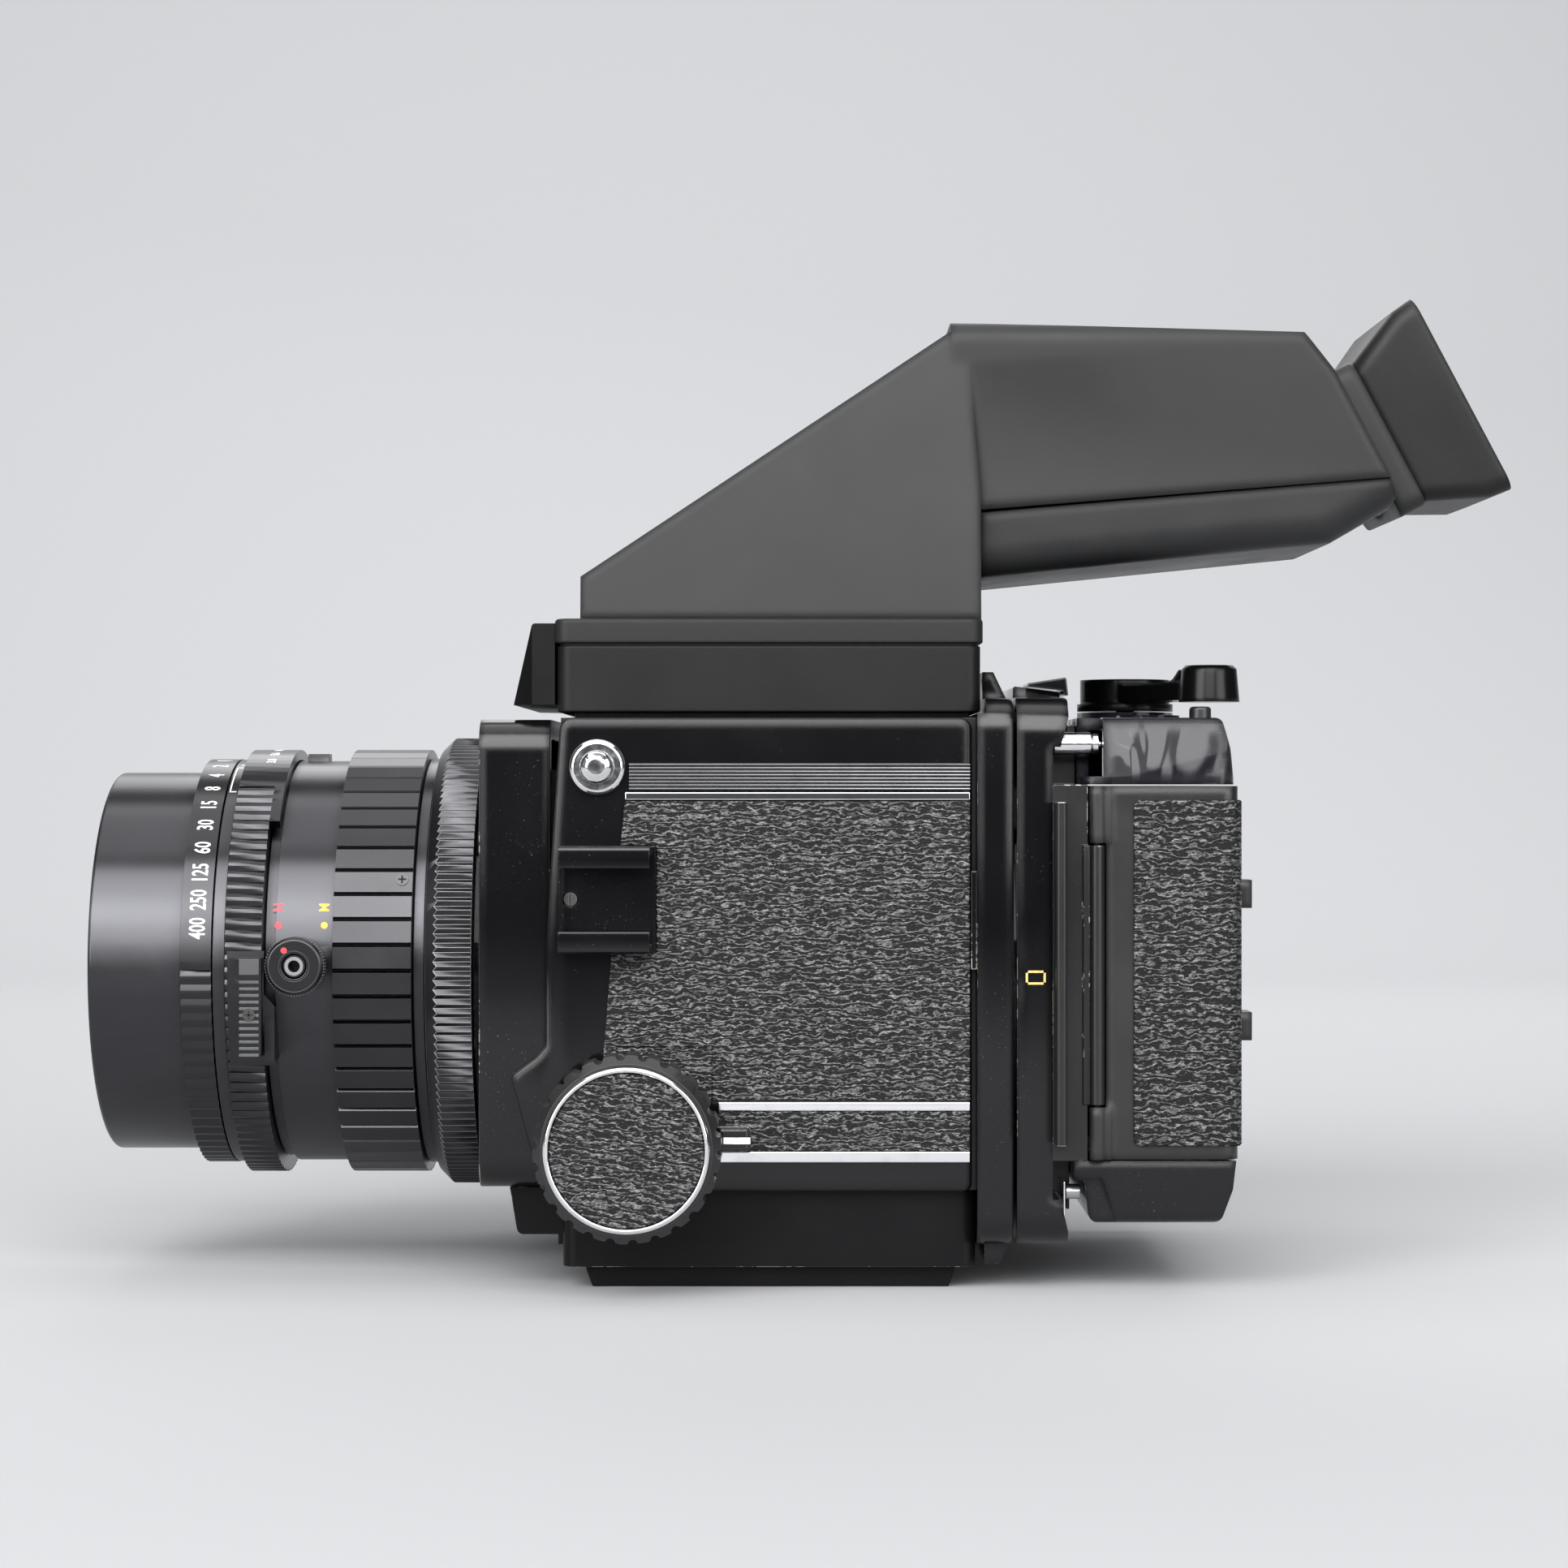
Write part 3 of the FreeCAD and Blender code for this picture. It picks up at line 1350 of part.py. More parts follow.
def scalloped_knob():
    """A knob whose grip has shallow round scallops; it faces -Y and its back is at the neck."""
    radius = number("knob_grip")
    deep = number("knob_scallop")
    count = int(number("knob_scallops"))
    back, face = number("knob_back"), number("knob_face")
    shaft = number("shaft_radius") + number("seat_gap")
    cover = number("casting_half") + number("cover_thick")
    step = 2 * math.pi / count
    edges = []

    def spot(r, angle):
        return Vec(r * math.cos(angle), 0, r * math.sin(angle))
    for i in range(count):
        start = i * step
        a, b = spot(radius, start), spot(radius, start + 0.55 * step)
        c, d = spot(radius - deep, start + 0.775 * step), spot(radius, start + step)
        crown = spot(radius + 0.1, start + 0.275 * step)
        edges.append(Part.Arc(a, crown, b).toShape())
        edges.append(Part.Arc(b, c, d).toShape())
    disc = Part.Face(Part.Wire(edges)).extrude(Vec(0, -(face - back), 0))
    disc.translate(Vec(0, -back, 0))
    bevel = Part.makeCone(radius - 1.6, radius + 1.4, 3, Vec(0, -face, 0), Vec(0, 1, 0))
    rest = Part.makeCylinder(radius + 1.4, face, Vec(0, -face + 3, 0), Vec(0, 1, 0))
    grip = disc.common(bevel.fuse(rest))
    neck_start = cover + number("turning_gap")
    neck = Part.makeCylinder(number("knob_neck"), back - neck_start, Vec(0, -back, 0), Vec(0, 1, 0))
    dish = Part.makeCylinder(number("ring_outer") + number("seat_gap"), number("dish_deep"),
                             Vec(0, -face, 0), Vec(0, 1, 0))
    bore = Part.makeCylinder(shaft, back + 2 - neck_start + 1, Vec(0, -back - 2 - number("seat_gap"), 0),
                             Vec(0, 1, 0))
    return grip.fuse(neck).cut(dish).cut(bore).removeSplitter()


def focus_knobs():
    axis = Vec(number("focus_x"), 0, number("focus_z"))
    left = scalloped_knob()
    right = left.mirror(Vec(), Vec(0, 1, 0))
    piece("focus_knobs", shaped(Part.makeCompound([left, right]), base=axis))
    floor = "(knob_face - dish_deep)"
    ring = turned("Y", FOCUS, [
        (f"-{floor}", "ring_inner"),
        (f"-{floor}", "ring_outer"),
        ("-(knob_face + ring_proud - 0.5)", "ring_outer"),
        ("-(knob_face + ring_proud)", "ring_outer - 0.4"),
        ("-(knob_face + ring_proud)", "ring_inner + 0.2"),
        ("-(knob_face + ring_proud - 0.3)", "ring_inner"),
    ])
    piece("knob_rings", group(ring, mirrored(ring)))
    disc = rod("Y", FOCUS, "ring_inner - seat_gap", ("-(knob_face + disc_proud)", f"-{floor}"))
    piece("knob_leathers", group(disc, mirrored(disc)))


def focus_lock_lever():
    span = ("-lock_plate_out", "-lock_plate_in")
    ring = rod("Y", FOCUS, "lock_ring_outer", span)
    arm = plate("XZ", [
        ("focus_x", "focus_z + 6"),
        ("focus_x", "focus_z - 6"),
        ("lock_arm_tip - 7", "lock_arm_low"),
        ("lock_arm_tip", "lock_arm_low", "1"),
        ("lock_arm_tip", "lock_arm_high", "1"),
        ("lock_arm_tip - 7", "lock_arm_high"),
    ], span)
    thumb = block(("lock_arm_tip - 6", "lock_arm_tip - 0.8"),
                  ("-(lock_plate_out + 1.4)", "-lock_plate_out + 0.2"),
                  ("lock_arm_low + 0.6", "lock_arm_high - 0.6"))
    bore = rod("Y", FOCUS, "knob_neck + turning_gap", ("-(lock_plate_out + 1)", "-(lock_plate_in - 1)"))
    piece("focus_lock_lever", cut(join(ring, arm, thumb), bore))


# Lens
def lens_core():
    outline = [
        ("barrel_rear + 0.1", "core_radius - core_wall"),
        ("barrel_rear + 0.1", "core_radius"),
        ("index_front", "core_radius"),
        ("index_front", "index_radius"),
        ("index_rear", "index_radius"),
        ("index_rear", "core_radius"),
        ("step_front", "core_radius"),
        ("step_front", "step_radius"),
        ("step_rear", "step_radius"),
        ("step_rear", "core_radius"),
        ("mount_front - seat_gap", "core_radius"),
        ("mount_front - seat_gap", "rear_tube_radius"),
        ("rear_tube_end", "rear_tube_radius"),
        ("rear_tube_end", "rear_glass_radius"),
        ("mount_front - 4", "rear_glass_radius"),
        ("mount_front - 8", "core_radius - core_wall"),
    ]
    piece("lens_core", turned("X", LENS, outline))


def front_barrel():
    outline = [
        ("barrel_front", "filter_radius"),
        ("barrel_front", "barrel_radius - 0.6"),
        ("barrel_front + 0.6", "barrel_radius"),
        ("barrel_rear", "barrel_radius"),
        ("barrel_rear", "glass_radius - 2"),
        ("glass_seat + 5", "glass_radius - 2"),
        ("glass_seat + 5", "glass_radius + seat_gap"),
        ("glass_seat - 1.5", "glass_radius + seat_gap"),
        ("barrel_front + filter_depth", "bezel_radius"),
        ("barrel_front + filter_depth", "filter_radius"),
    ]
    piece("front_barrel", turned("X", LENS, outline))


def lens_glass():
    drum = rod("X", LENS, "glass_radius", ("glass_front - 1", "glass_seat + 5"))
    ball = doc.addObject("Part::Sphere", "Bulge")
    bind(ball, "Radius", "glass_bulge")
    place(ball, UP, "glass_front + glass_bulge", "0", "lens_axis")
    rear = rod("X", LENS, "rear_glass_radius - seat_gap", ("rear_glass_front", "rear_glass_back"))
    piece("lens_glass", group(overlap(drum, ball), rear))


def speed_ring():
    """Smooth with its scale above the axis, serrated below it."""
    ring = toothed_ring(number("speed_front"), number("speed_rear"),
                        number("speed_radius"), number("grip_tooth_deep"), int(number("grip_teeth") / 2),
                        number("core_radius") + number("turning_gap"),
                        start=math.pi, sweep=math.pi, land=0.3)
    piece("speed_ring", ring)


def aperture_ring():
    """Serrated, and wider over the top, where its scale is."""
    bore = number("core_radius") + number("turning_gap")
    front = number("aperture_front")
    narrow = number("aperture_narrow_rear")
    wide = number("aperture_wide_rear")
    radius = number("aperture_radius")
    smooth = math.radians(number("aperture_smooth"))
    edge = math.radians(number("aperture_crown"))
    face = toothed_face(radius, number("grip_tooth_deep"), int(number("grip_teeth")), bore,
                        start=math.pi / 2 + smooth, sweep=2 * (math.pi - smooth), land=0.3)
    ring = face.extrude(Vec(narrow - front, 0, 0))
    crown = Part.makeCylinder(radius, wide - narrow, Vec(narrow - front, 0, 0), Vec(1, 0, 0))
    crown = crown.cut(Part.makeCylinder(number("mid_radius") + number("turning_gap"), wide - front + 2,
                                        Vec(-1, 0, 0), Vec(1, 0, 0)))
    reach = 2 * radius
    wide_edge, high_edge = reach * math.cos(edge), reach * math.sin(edge)
    wedge = [Vec(-1, 0, 0), Vec(-1, -wide_edge, high_edge), Vec(-1, -wide_edge, reach),
             Vec(-1, wide_edge, reach), Vec(-1, wide_edge, high_edge)]
    sector = Part.Face(Part.makePolygon(wedge + wedge[:1])).extrude(Vec(wide - front + 2, 0, 0))
    whole = ring.fuse(crown.common(sector)).removeSplitter()
    piece("aperture_ring", shaped(whole, base=Vec(front, 0, number("lens_axis"))))


def mid_barrel():
    """The fixed barrel between the rings, with the cable socket and the flash terminal."""
    main = turned("X", LENS, [
        ("mid_wide_front", "core_radius + seat_gap"),
        ("mid_wide_front", "mid_radius"),
        ("mid_rear", "mid_radius"),
        ("mid_rear", "core_radius + seat_gap"),
    ])
    nose = turned("X", LENS, [
        ("mid_front", "core_radius + seat_gap"),
        ("mid_front", "mid_radius - 1"),
        ("mid_wide_front + 1", "mid_radius - 1"),
        ("mid_wide_front + 1", "core_radius + seat_gap"),
    ])
    terminal = block(("sync_front", "sync_rear"), both_sides("sync_half"),
                     ("lens_axis + mid_radius - 1", "sync_high"))
    socket = rod("Y", ("socket_x", "socket_z"), "socket_outer", ("-socket_tip", "-socket_root"))
    hole = rod("Y", ("socket_x", "socket_z"), "socket_hole", ("-socket_tip - 1", "-socket_root - 1"))
    piece("mid_barrel", cut(join(main, nose, terminal, socket), hole))


def mirror_up_collar():
    outline = [
        ("-collar_ring_out", "collar_ring_inner"),
        ("-collar_ring_out", "collar_ring_outer - 0.6"),
        ("-(collar_ring_out - 0.6)", "collar_ring_outer"),
        ("-collar_ring_in", "collar_ring_outer"),
        ("-collar_ring_in", "collar_ring_inner"),
    ]
    piece("mirror_up_collar", turned("Y", ("socket_x", "socket_z"), outline))


def preview_slider():
    shell = tube("X", LENS, "aperture_radius + turning_gap", "preview_base_radius",
                 ("preview_base_front", "preview_base_rear"))
    upper = block(("preview_base_front - 1", "preview_step"), ("-(preview_out + 1)", "0"),
                  ("preview_foot_top", "preview_base_high"))
    lower = plate("XZ", [
        ("preview_base_front - 1", "preview_base_low"),
        ("preview_base_rear", "preview_base_low"),
        ("preview_base_rear", "preview_foot_top - 2.4"),
        ("preview_step", "preview_foot_top"),
        ("preview_base_front - 1", "preview_foot_top"),
    ], ("-(preview_out + 1)", "0"))
    foot = cut(block(("preview_step", "preview_base_rear"), ("-preview_over", "-30"),
                     ("preview_base_low + 1", "preview_foot_top - 2.6")),
               rod("X", LENS, "mid_radius + turning_gap", ("preview_step - 1", "preview_base_rear + 1")))
    grip = cut(block(("preview_front", "preview_rear"), ("-preview_out", "-40"),
                     ("preview_low", "preview_high")),
               rod("X", LENS, "preview_base_radius - 0.2", ("preview_front - 1", "preview_rear + 1")))
    piece("preview_slider", join(overlap(shell, upper), overlap(shell, lower), foot, grip))


def scale_ring():
    ring = toothed_ring(number("scale_front"), number("scale_rear"),
                        number("scale_radius"), number("scale_rib_deep"), int(number("scale_ribs")),
                        number("core_radius") + number("turning_gap"), land=0.82)
    piece("scale_ring", ring)


def lock_ring():
    front, rear = number("lock_front"), number("lock_rear")
    radius, bevel = number("lock_radius"), number("lock_bevel")
    bore = number("core_radius") + number("turning_gap")
    teeth = toothed_face(radius, number("lock_tooth_deep"), int(number("lock_teeth")), bore)
    ring = teeth.extrude(Vec(rear - front, 0, 0))
    cone = Part.makeCone(radius - bevel, radius + bevel, 2 * bevel, Vec(0, 0, 0), Vec(1, 0, 0))
    drum = Part.makeCylinder(radius + bevel, rear - front, Vec(2 * bevel, 0, 0), Vec(1, 0, 0))
    whole = ring.common(cone.fuse(drum)).removeSplitter()
    piece("lock_ring", shaped(whole, base=Vec(front, 0, number("lens_axis"))))


# Revolving adapter, its lock slide and the interlock pin
def revolving_adapter():
    high = ("lens_axis - adapter_half_high", "lens_axis + adapter_half_high")
    slab = plate("YZ", rounded(both_sides("adapter_half_wide"), high, "adapter_corner"),
                 ("adapter_front", "adapter_rear"))
    upper = plate("XZ", [
        ("adapter_rear - 1", "lens_axis + adapter_half_high - adapter_rail_high"),
        ("adapter_rail_rear - adapter_rail_step", "lens_axis + adapter_half_high - adapter_rail_high"),
        ("adapter_rail_rear", "lens_axis + adapter_half_high - 4"),
        ("adapter_rail_rear", "lens_axis + adapter_half_high", "0.8"),
        ("adapter_rear - 1", "lens_axis + adapter_half_high"),
    ], both_sides("adapter_half_wide"))
    lower = plate("XZ", [
        ("adapter_rear - 1", "lens_axis - adapter_half_high + adapter_low_rail_high"),
        ("adapter_rear - 1", "lens_axis - adapter_half_high"),
        ("adapter_rail_rear", "lens_axis - adapter_half_high", "0.8"),
        ("adapter_rail_rear", "lens_axis - adapter_half_high + 3"),
        ("adapter_rail_rear - adapter_rail_step", "lens_axis - adapter_half_high + adapter_low_rail_high"),
    ], both_sides("adapter_half_wide"))
    profile = plate("YZ", rounded(both_sides("adapter_half_wide"), high, "adapter_corner"),
                    ("adapter_rear - 2", "adapter_rail_rear + 1"))
    crown = plate("XZ", [
        ("cap_rail_front", "lens_axis + adapter_half_high - 1"),
        ("cap_rail_front", "cap_rail_front_top", "0.5"),
        ("cap_rail_rear", "cap_rail_rear_top", "0.5"),
        ("cap_rail_rear", "lens_axis + adapter_half_high - 1"),
    ], both_sides("cap_rail_half"))
    window = block(("adapter_front - 1", "adapter_rear + 1"), both_sides("adapter_window_half"),
                   ("lens_axis - adapter_window_half", "lens_axis + adapter_window_half"))
    groove = tube("X", LENS, "bearing_inner - turning_gap", "bearing_outer + turning_gap",
                  ("adapter_front - 1", "bearing_rear + turning_gap"))
    pin_bore = rod("X", ("pin_side", "pin_high"), "pin_radius + pin_fit",
                   ("pin_bore_front", "adapter_rail_rear + 1"))
    rails = overlap(join(upper, lower), profile)
    piece("revolving_adapter", cut(join(slab, rails, crown), window, groove, pin_bore))
    slide = plate("XZ", [
        ("slide_front", "slide_front_low"),
        ("slide_rear - 1.2", "slide_rear_low"),
        ("slide_rear - 0.8", "slide_hook_low"),
        ("slide_rear", "slide_hook_low"),
        ("slide_rear - 0.4", "slide_rear_top", "0.4"),
        ("slide_front", "slide_front_top"),
    ], ("slide_left", "slide_right"))
    piece("adapter_lock_slide", slide)
    pin = turned("X", ("pin_side", "pin_high"), [
        ("pin_front", "0"),
        ("pin_front", "pin_radius"),
        ("pin_rear", "pin_radius"),
        ("pin_rear", "pin_ring_radius - 0.4"),
        ("pin_rear + 0.3", "pin_ring_radius - 0.4"),
        ("pin_rear + 0.3", "pin_ring_radius"),
        ("pin_ring_rear", "pin_ring_radius"),
        ("pin_ring_rear", "pin_tip_radius"),
        ("pin_tip_rear", "pin_tip_radius"),
        ("pin_tip_rear", "0"),
    ])
    piece("interlock_pin", pin)


# Film holder: case with gate and dark slide slot, caps, door and insert
GATE_Y = both_sides("gate_half_wide")
GATE_Z = ("lens_axis - gate_half_high", "lens_axis + gate_half_high")


def knuckle(low, high, reach, direction):
    """A hinge knuckle with the web that ties it to its leaf."""
    barrel = rod("Z", ("hinge_x", "hinge_y"), "knuckle_radius", (low, high))
    ends = ("hinge_x", reach) if direction > 0 else (reach, "hinge_x")
    web = block(ends, ("hinge_y - web_out + 0.6", "hinge_y + knuckle_radius"), (low, high))
    return barrel, web


def holder_case():
    shell = block(("adapter_rear", "case_rear"), both_sides("case_half"), ("case_low", "case_top"))
    inside = block(("case_face_rear", "case_rear + 1"), both_sides("case_half - case_wall"),
                   ("case_low + case_wall", "case_top - case_wall"))
    high_plate = block(("mount_plate_front", "top_cap_front - seat_gap"), both_sides("mount_plate_half"),
                       ("case_top - case_wall", "mount_plate_top"))
    low_plate = block(("mount_plate_front", "case_face_rear - seat_gap"), both_sides("mount_plate_half"),
                      ("mount_plate_low", "case_low + case_wall"))
    root_top = "lens_axis + adapter_half_high - adapter_rail_high - mount_root_gap"
    root_low = "lens_axis - adapter_half_high + adapter_low_rail_high + mount_root_gap"
    high_root = block(("adapter_rear", "top_cap_front - seat_gap"), both_sides("mount_plate_half"),
                      ("case_top - case_wall", root_top))
    low_root = block(("adapter_rear", "case_face_rear - seat_gap"), both_sides("mount_plate_half"),
                     (root_low, "case_low + case_wall"))
    gate = block(("adapter_rear - 1", "case_rear + 1"), GATE_Y, GATE_Z)
    slot = block(("dark_slot_front", "dark_slot_rear"), ("-(case_half + 1)", "dark_slot_end"),
                 ("lens_axis - dark_half_high - 0.3", "lens_axis + dark_half_high + 0.3"))
    barrel, web = knuckle("knuckle_low + knuckle_gap", "knuckle_high - knuckle_gap", "case_rear - 1", -1)
    pin = rod("Z", ("hinge_x", "hinge_y"), "hinge_pin_radius + hinge_pin_fit", ("case_low", "case_top"))
    body = join(cut(shell, inside), high_plate, low_plate, high_root, low_root, barrel, web)
    piece("holder_case", cut(body, gate, slot, pin))


def dark_slide():
    high = ("lens_axis - dark_half_high", "lens_axis + dark_half_high")
    blade = block(("dark_front", "dark_rear"), ("-dark_grip_out + 1", "dark_end"), high)
    outline = rounded(("dark_grip_front", "dark_grip_rear"), ("-dark_grip_out", "-dark_grip_in"), "0.8")
    grip = plate("XY", outline, ("lens_axis - dark_grip_half_high", "lens_axis + dark_grip_half_high"))
    piece("dark_slide", join(blade, grip))


def rear_door():
    wall = "door_wall"
    corner = "door_corner"
    inner = "door_corner - door_wall"
    outline = [
        ("door_front", "-case_half"),
        ("door_rear", "-case_half", corner),
        ("door_rear", "case_half", corner),
        ("door_far_front", "case_half"),
        ("door_far_front", f"case_half - {wall}"),
        (f"door_rear - {wall}", f"case_half - {wall}", inner),
        (f"door_rear - {wall}", f"-case_half + {wall}", inner),
        ("door_front", f"-case_half + {wall}"),
    ]
    skin = plate("XY", outline, ("door_low", "door_top"))
    lower = knuckle("door_low", "knuckle_low - knuckle_gap", "door_front + 1", 1)
    upper = knuckle("knuckle_high + knuckle_gap", "door_top", "door_front + 1", 1)
    frame = block(("door_rear - memo_sink", "door_rear + memo_thick"), both_sides("memo_half"),
                  ("memo_low", "memo_high"))
    tabs = []
    for low in ("memo_low", "memo_high - memo_tab_high"):
        tabs.append(block(("door_rear", "door_rear + memo_thick + memo_tab_proud"),
                          ("-memo_half", "-memo_half + memo_tab_half"), (low, f"{low} + memo_tab_high")))
    pin = rod("Z", ("hinge_x", "hinge_y"), "hinge_pin_radius", ("door_low", "door_top"))
    piece("rear_door", join(skin, *lower, *upper, frame, *tabs, pin))
    high = ("door_panel_low", "door_panel_top")
    wrap = plate("XY", [
        ("door_panel_front", "-(case_half + panel_thick)"),
        ("door_rear + panel_thick", "-(case_half + panel_thick)", "door_corner + panel_thick"),
        ("door_rear + panel_thick", "case_half + panel_thick", "door_corner + panel_thick"),
        ("door_panel_front", "case_half + panel_thick"),
    ], high)
    core = plate("XY", [
        ("door_panel_front - 1", "-case_half"),
        ("door_rear", "-case_half", "door_corner - leather_slack"),
        ("door_rear", "case_half", "door_corner - leather_slack"),
        ("door_panel_front - 1", "case_half"),
    ], ("door_panel_low - 1", "door_panel_top + 1"))
    face = plate("XZ", [
        ("door_panel_front", "door_panel_low", "door_panel_corner"),
        ("door_panel_front", "door_panel_top", "door_panel_corner"),
        ("door_rear + panel_thick + 1", "door_panel_top"),
        ("door_rear + panel_thick + 1", "door_panel_low"),
    ], both_sides("case_half + panel_thick + 1"))
    memo = block(("door_rear - 1", "door_rear + panel_thick + 1"), both_sides("memo_half + memo_clear"),
                 ("memo_low - memo_clear", "memo_high + memo_clear"))
    piece("door_leather", cut(overlap(wrap, face), core, memo))
    latch = block(("latch_x - latch_half_long", "latch_x + latch_half_long"),
                  ("case_half + 0.1", "case_half + latch_thick"),
                  ("lens_axis - latch_half_high", "lens_axis + latch_half_high"))
    piece("door_latch", latch)


def top_cap():
    side = plate("XZ", [
        ("top_cap_front", "case_top"),
        ("top_cap_rear", "case_top"),
        ("top_cap_knee_x", "top_cap_knee_z"),
        ("top_cap_top_rear", "top_cap_high", "cap_round"),
        ("top_cap_front", "top_cap_high"),
    ], both_sides("case_half + 1"))
    end = plate("YZ", [
        ("-case_half", "case_top"),
        ("case_half", "case_top"),
        ("case_half - cap_taper", "top_cap_high", "cap_edge"),
        ("-case_half + cap_taper", "top_cap_high", "cap_edge"),
    ], ("top_cap_front - 1", "top_cap_rear + 1"))
    plan = plate("XY", rounded(("top_cap_front", "top_cap_rear"), both_sides("case_half"), "cap_corner"),
                 ("case_top - 1", "top_cap_high + 1"))
    hollow = block(("top_cap_front + cap_wall", "top_cap_top_rear - cap_wall"),
                   both_sides("case_half - cap_taper - cap_wall"),
                   ("case_top - 1", "top_cap_high - cap_wall"))
    left = block(("top_cap_front - 1", "cap_block_rear"), ("-case_half - 1", "-case_half + cap_block_inset"),
                 ("case_top + 1.6", "top_cap_high + 1"))
    boss = rod("Z", ("wind_x", "wind_y"), "wind_boss_radius", ("top_cap_high - 1", "wind_boss_top"))
    dial = rod("Z", ("dial_x", "dial_y"), "dial_radius", ("top_cap_high - 1", "top_cap_high + dial_rise"))
    well = rod("Z", ("button_x", "button_y"), "button_radius + turning_gap",
               ("top_cap_high - 6", "top_cap_high + 1"))
    shaft = rod("Z", ("wind_x", "wind_y"), "wind_shaft_radius + turning_gap",
                ("case_top", "wind_boss_top + 1"))
    body = join(overlap(side, end, plan), boss, dial)
    piece("holder_top_cap", cut(body, hollow, left, mirrored(left), well, shaft))
    button = turned("Z", ("button_x", "button_y"), [
        ("button_low", "0"),
        ("button_low", "button_radius"),
        ("button_top - 0.4", "button_radius"),
        ("button_top", "button_radius - 0.4"),
        ("button_top", "0"),
    ])
    piece("multi_exposure_button", button)


def bottom_cap():
    side = plate("XZ", [
        ("bottom_cap_front", "bottom_cap_low", "2"),
        ("bottom_cap_low_rear", "bottom_cap_low", "cap_edge"),
        ("bottom_cap_rear - bottom_cap_lean", "bottom_cap_knee"),
        ("bottom_cap_rear", "case_low"),
        ("case_face_rear", "case_low"),
        ("case_face_rear", "bottom_block_high"),
        ("bottom_cap_front - 0.8", "bottom_block_high"),
    ], both_sides("case_half"))
    end = plate("YZ", [
        ("-case_half", "case_low"),
        ("case_half", "case_low"),
        ("case_half - cap_taper", "bottom_cap_low", "cap_round"),
        ("-case_half + cap_taper", "bottom_cap_low", "cap_round"),
    ], ("case_face_rear - 1", "bottom_cap_rear + 1"))
    hollow = block(("bottom_cap_front + cap_wall", "bottom_cap_low_rear - cap_wall"),
                   both_sides("case_half - cap_taper - cap_wall"),
                   ("bottom_cap_low + cap_wall", "case_low + 1"))
    recess = plate("XZ", [
        ("case_face_rear - 1", "cap_notch_top"),
        ("cap_notch_rear", "cap_notch_top"),
        ("cap_notch_low_rear", "bottom_cap_low - 1"),
        ("case_face_rear - 1", "bottom_cap_low - 1"),
    ], ("-(case_half + 1)", "-(case_half - cap_notch_deep)"))
    piece("holder_bottom_cap", cut(overlap(side, end), hollow, recess, mirrored(recess)))


def advance_lever():
    lean = number("wind_lean")
    dial = rod("Z", ("0", "0"), "wind_boss_radius", ("wind_hub_low", "wind_hub_low + 1.6"))
    hub = rod("Z", ("0", "0"), "wind_hub_radius", ("wind_hub_low + 1.5", "wind_hub_top"))
    arm = plate("XY", [
        ("0", "wind_arm_half + 2"),
        ("0", "-wind_arm_half - 2"),
        ("wind_reach", "-wind_arm_half"),
        ("wind_reach", "wind_arm_half"),
    ], ("wind_arm_low", "wind_arm_top"))
    grip = turned("Z", ("wind_reach", "0"), [
        ("wind_grip_low", "0"),
        ("wind_grip_low", "wind_grip_radius"),
        ("wind_grip_top - wind_grip_bevel", "wind_grip_radius - wind_grip_lean"),
        ("wind_grip_top", "wind_grip_radius - wind_grip_lean - wind_grip_bevel"),
        ("wind_grip_top", "0"),
    ])
    ramp = plate("XZ", [
        ("wind_reach - wind_ramp", "wind_arm_top - 1"),
        ("wind_reach", "wind_arm_top - 1"),
        ("wind_reach", "wind_grip_top - wind_grip_bevel"),
        ("wind_reach - wind_grip_radius + wind_grip_lean", "wind_grip_top - wind_grip_bevel"),
        ("wind_reach - wind_ramp + wind_ramp_knee", "wind_arm_top + wind_grip_bevel"),
        ("wind_reach - wind_ramp", "wind_arm_top"),
    ], both_sides("wind_ramp_half"))
    shaft = rod("Z", ("0", "0"), "wind_shaft_radius", ("top_cap_high - cap_wall - 3", "wind_hub_low + 1"))
    lever = join(dial, hub, arm, grip, ramp, shaft)
    lever.Placement = FreeCAD.Placement(Vec(), FreeCAD.Rotation(Vec(0, 0, 1), lean))
    bind(lever, "Placement.Base.x", "wind_x")
    bind(lever, "Placement.Base.y", "wind_y")
    piece("advance_lever", lever)


def film_insert():
    half = "(spool_length / 2 + insert_play)"
    plates = []
    pins = []
    for sign in ("-", "+"):
        near = f"lens_axis {sign} {half}"
        far = f"lens_axis {sign} ({half} + insert_plate_thick)"
        tip = f"lens_axis {sign} ({half} - 6)"
        span = (far, near) if sign == "-" else (near, far)
        plates.append(block(("insert_front", "insert_rear"), both_sides("insert_half"), span))
        reach = (near, tip) if sign == "-" else (tip, near)
        for side in ("-spool_y", "spool_y"):
            pins.append(rod("Z", ("spool_x", side), "spool_pin", reach))
    high = (f"lens_axis - {half} - 0.5", f"lens_axis + {half} + 0.5")
    post = block(("pressure_rear - 0.3", "post_rear"), both_sides("post_half"), high)
    press = block(("pressure_front", "pressure_rear"), both_sides("pressure_half"),
                  ("lens_axis - gate_half_high - 3", "lens_axis + gate_half_high + 3"))
    piece("film_insert", join(*plates, *pins, post, press))


def spool(label, side, roll):
    half = "(spool_length / 2)"
    low, high = f"lens_axis - {half}", f"lens_axis + {half}"
    outline = [
        (low, "spool_bore"),
        (high, "spool_bore"),
        (high, "spool_flange"),
        (f"{high} - spool_flange_thick", "spool_flange"),
        (f"{high} - spool_flange_thick", roll),
        (f"{low} + spool_flange_thick", roll),
        (f"{low} + spool_flange_thick", "spool_flange"),
        (low, "spool_flange"),
    ]
    piece(label, turned("Z", ("spool_x", side), outline))


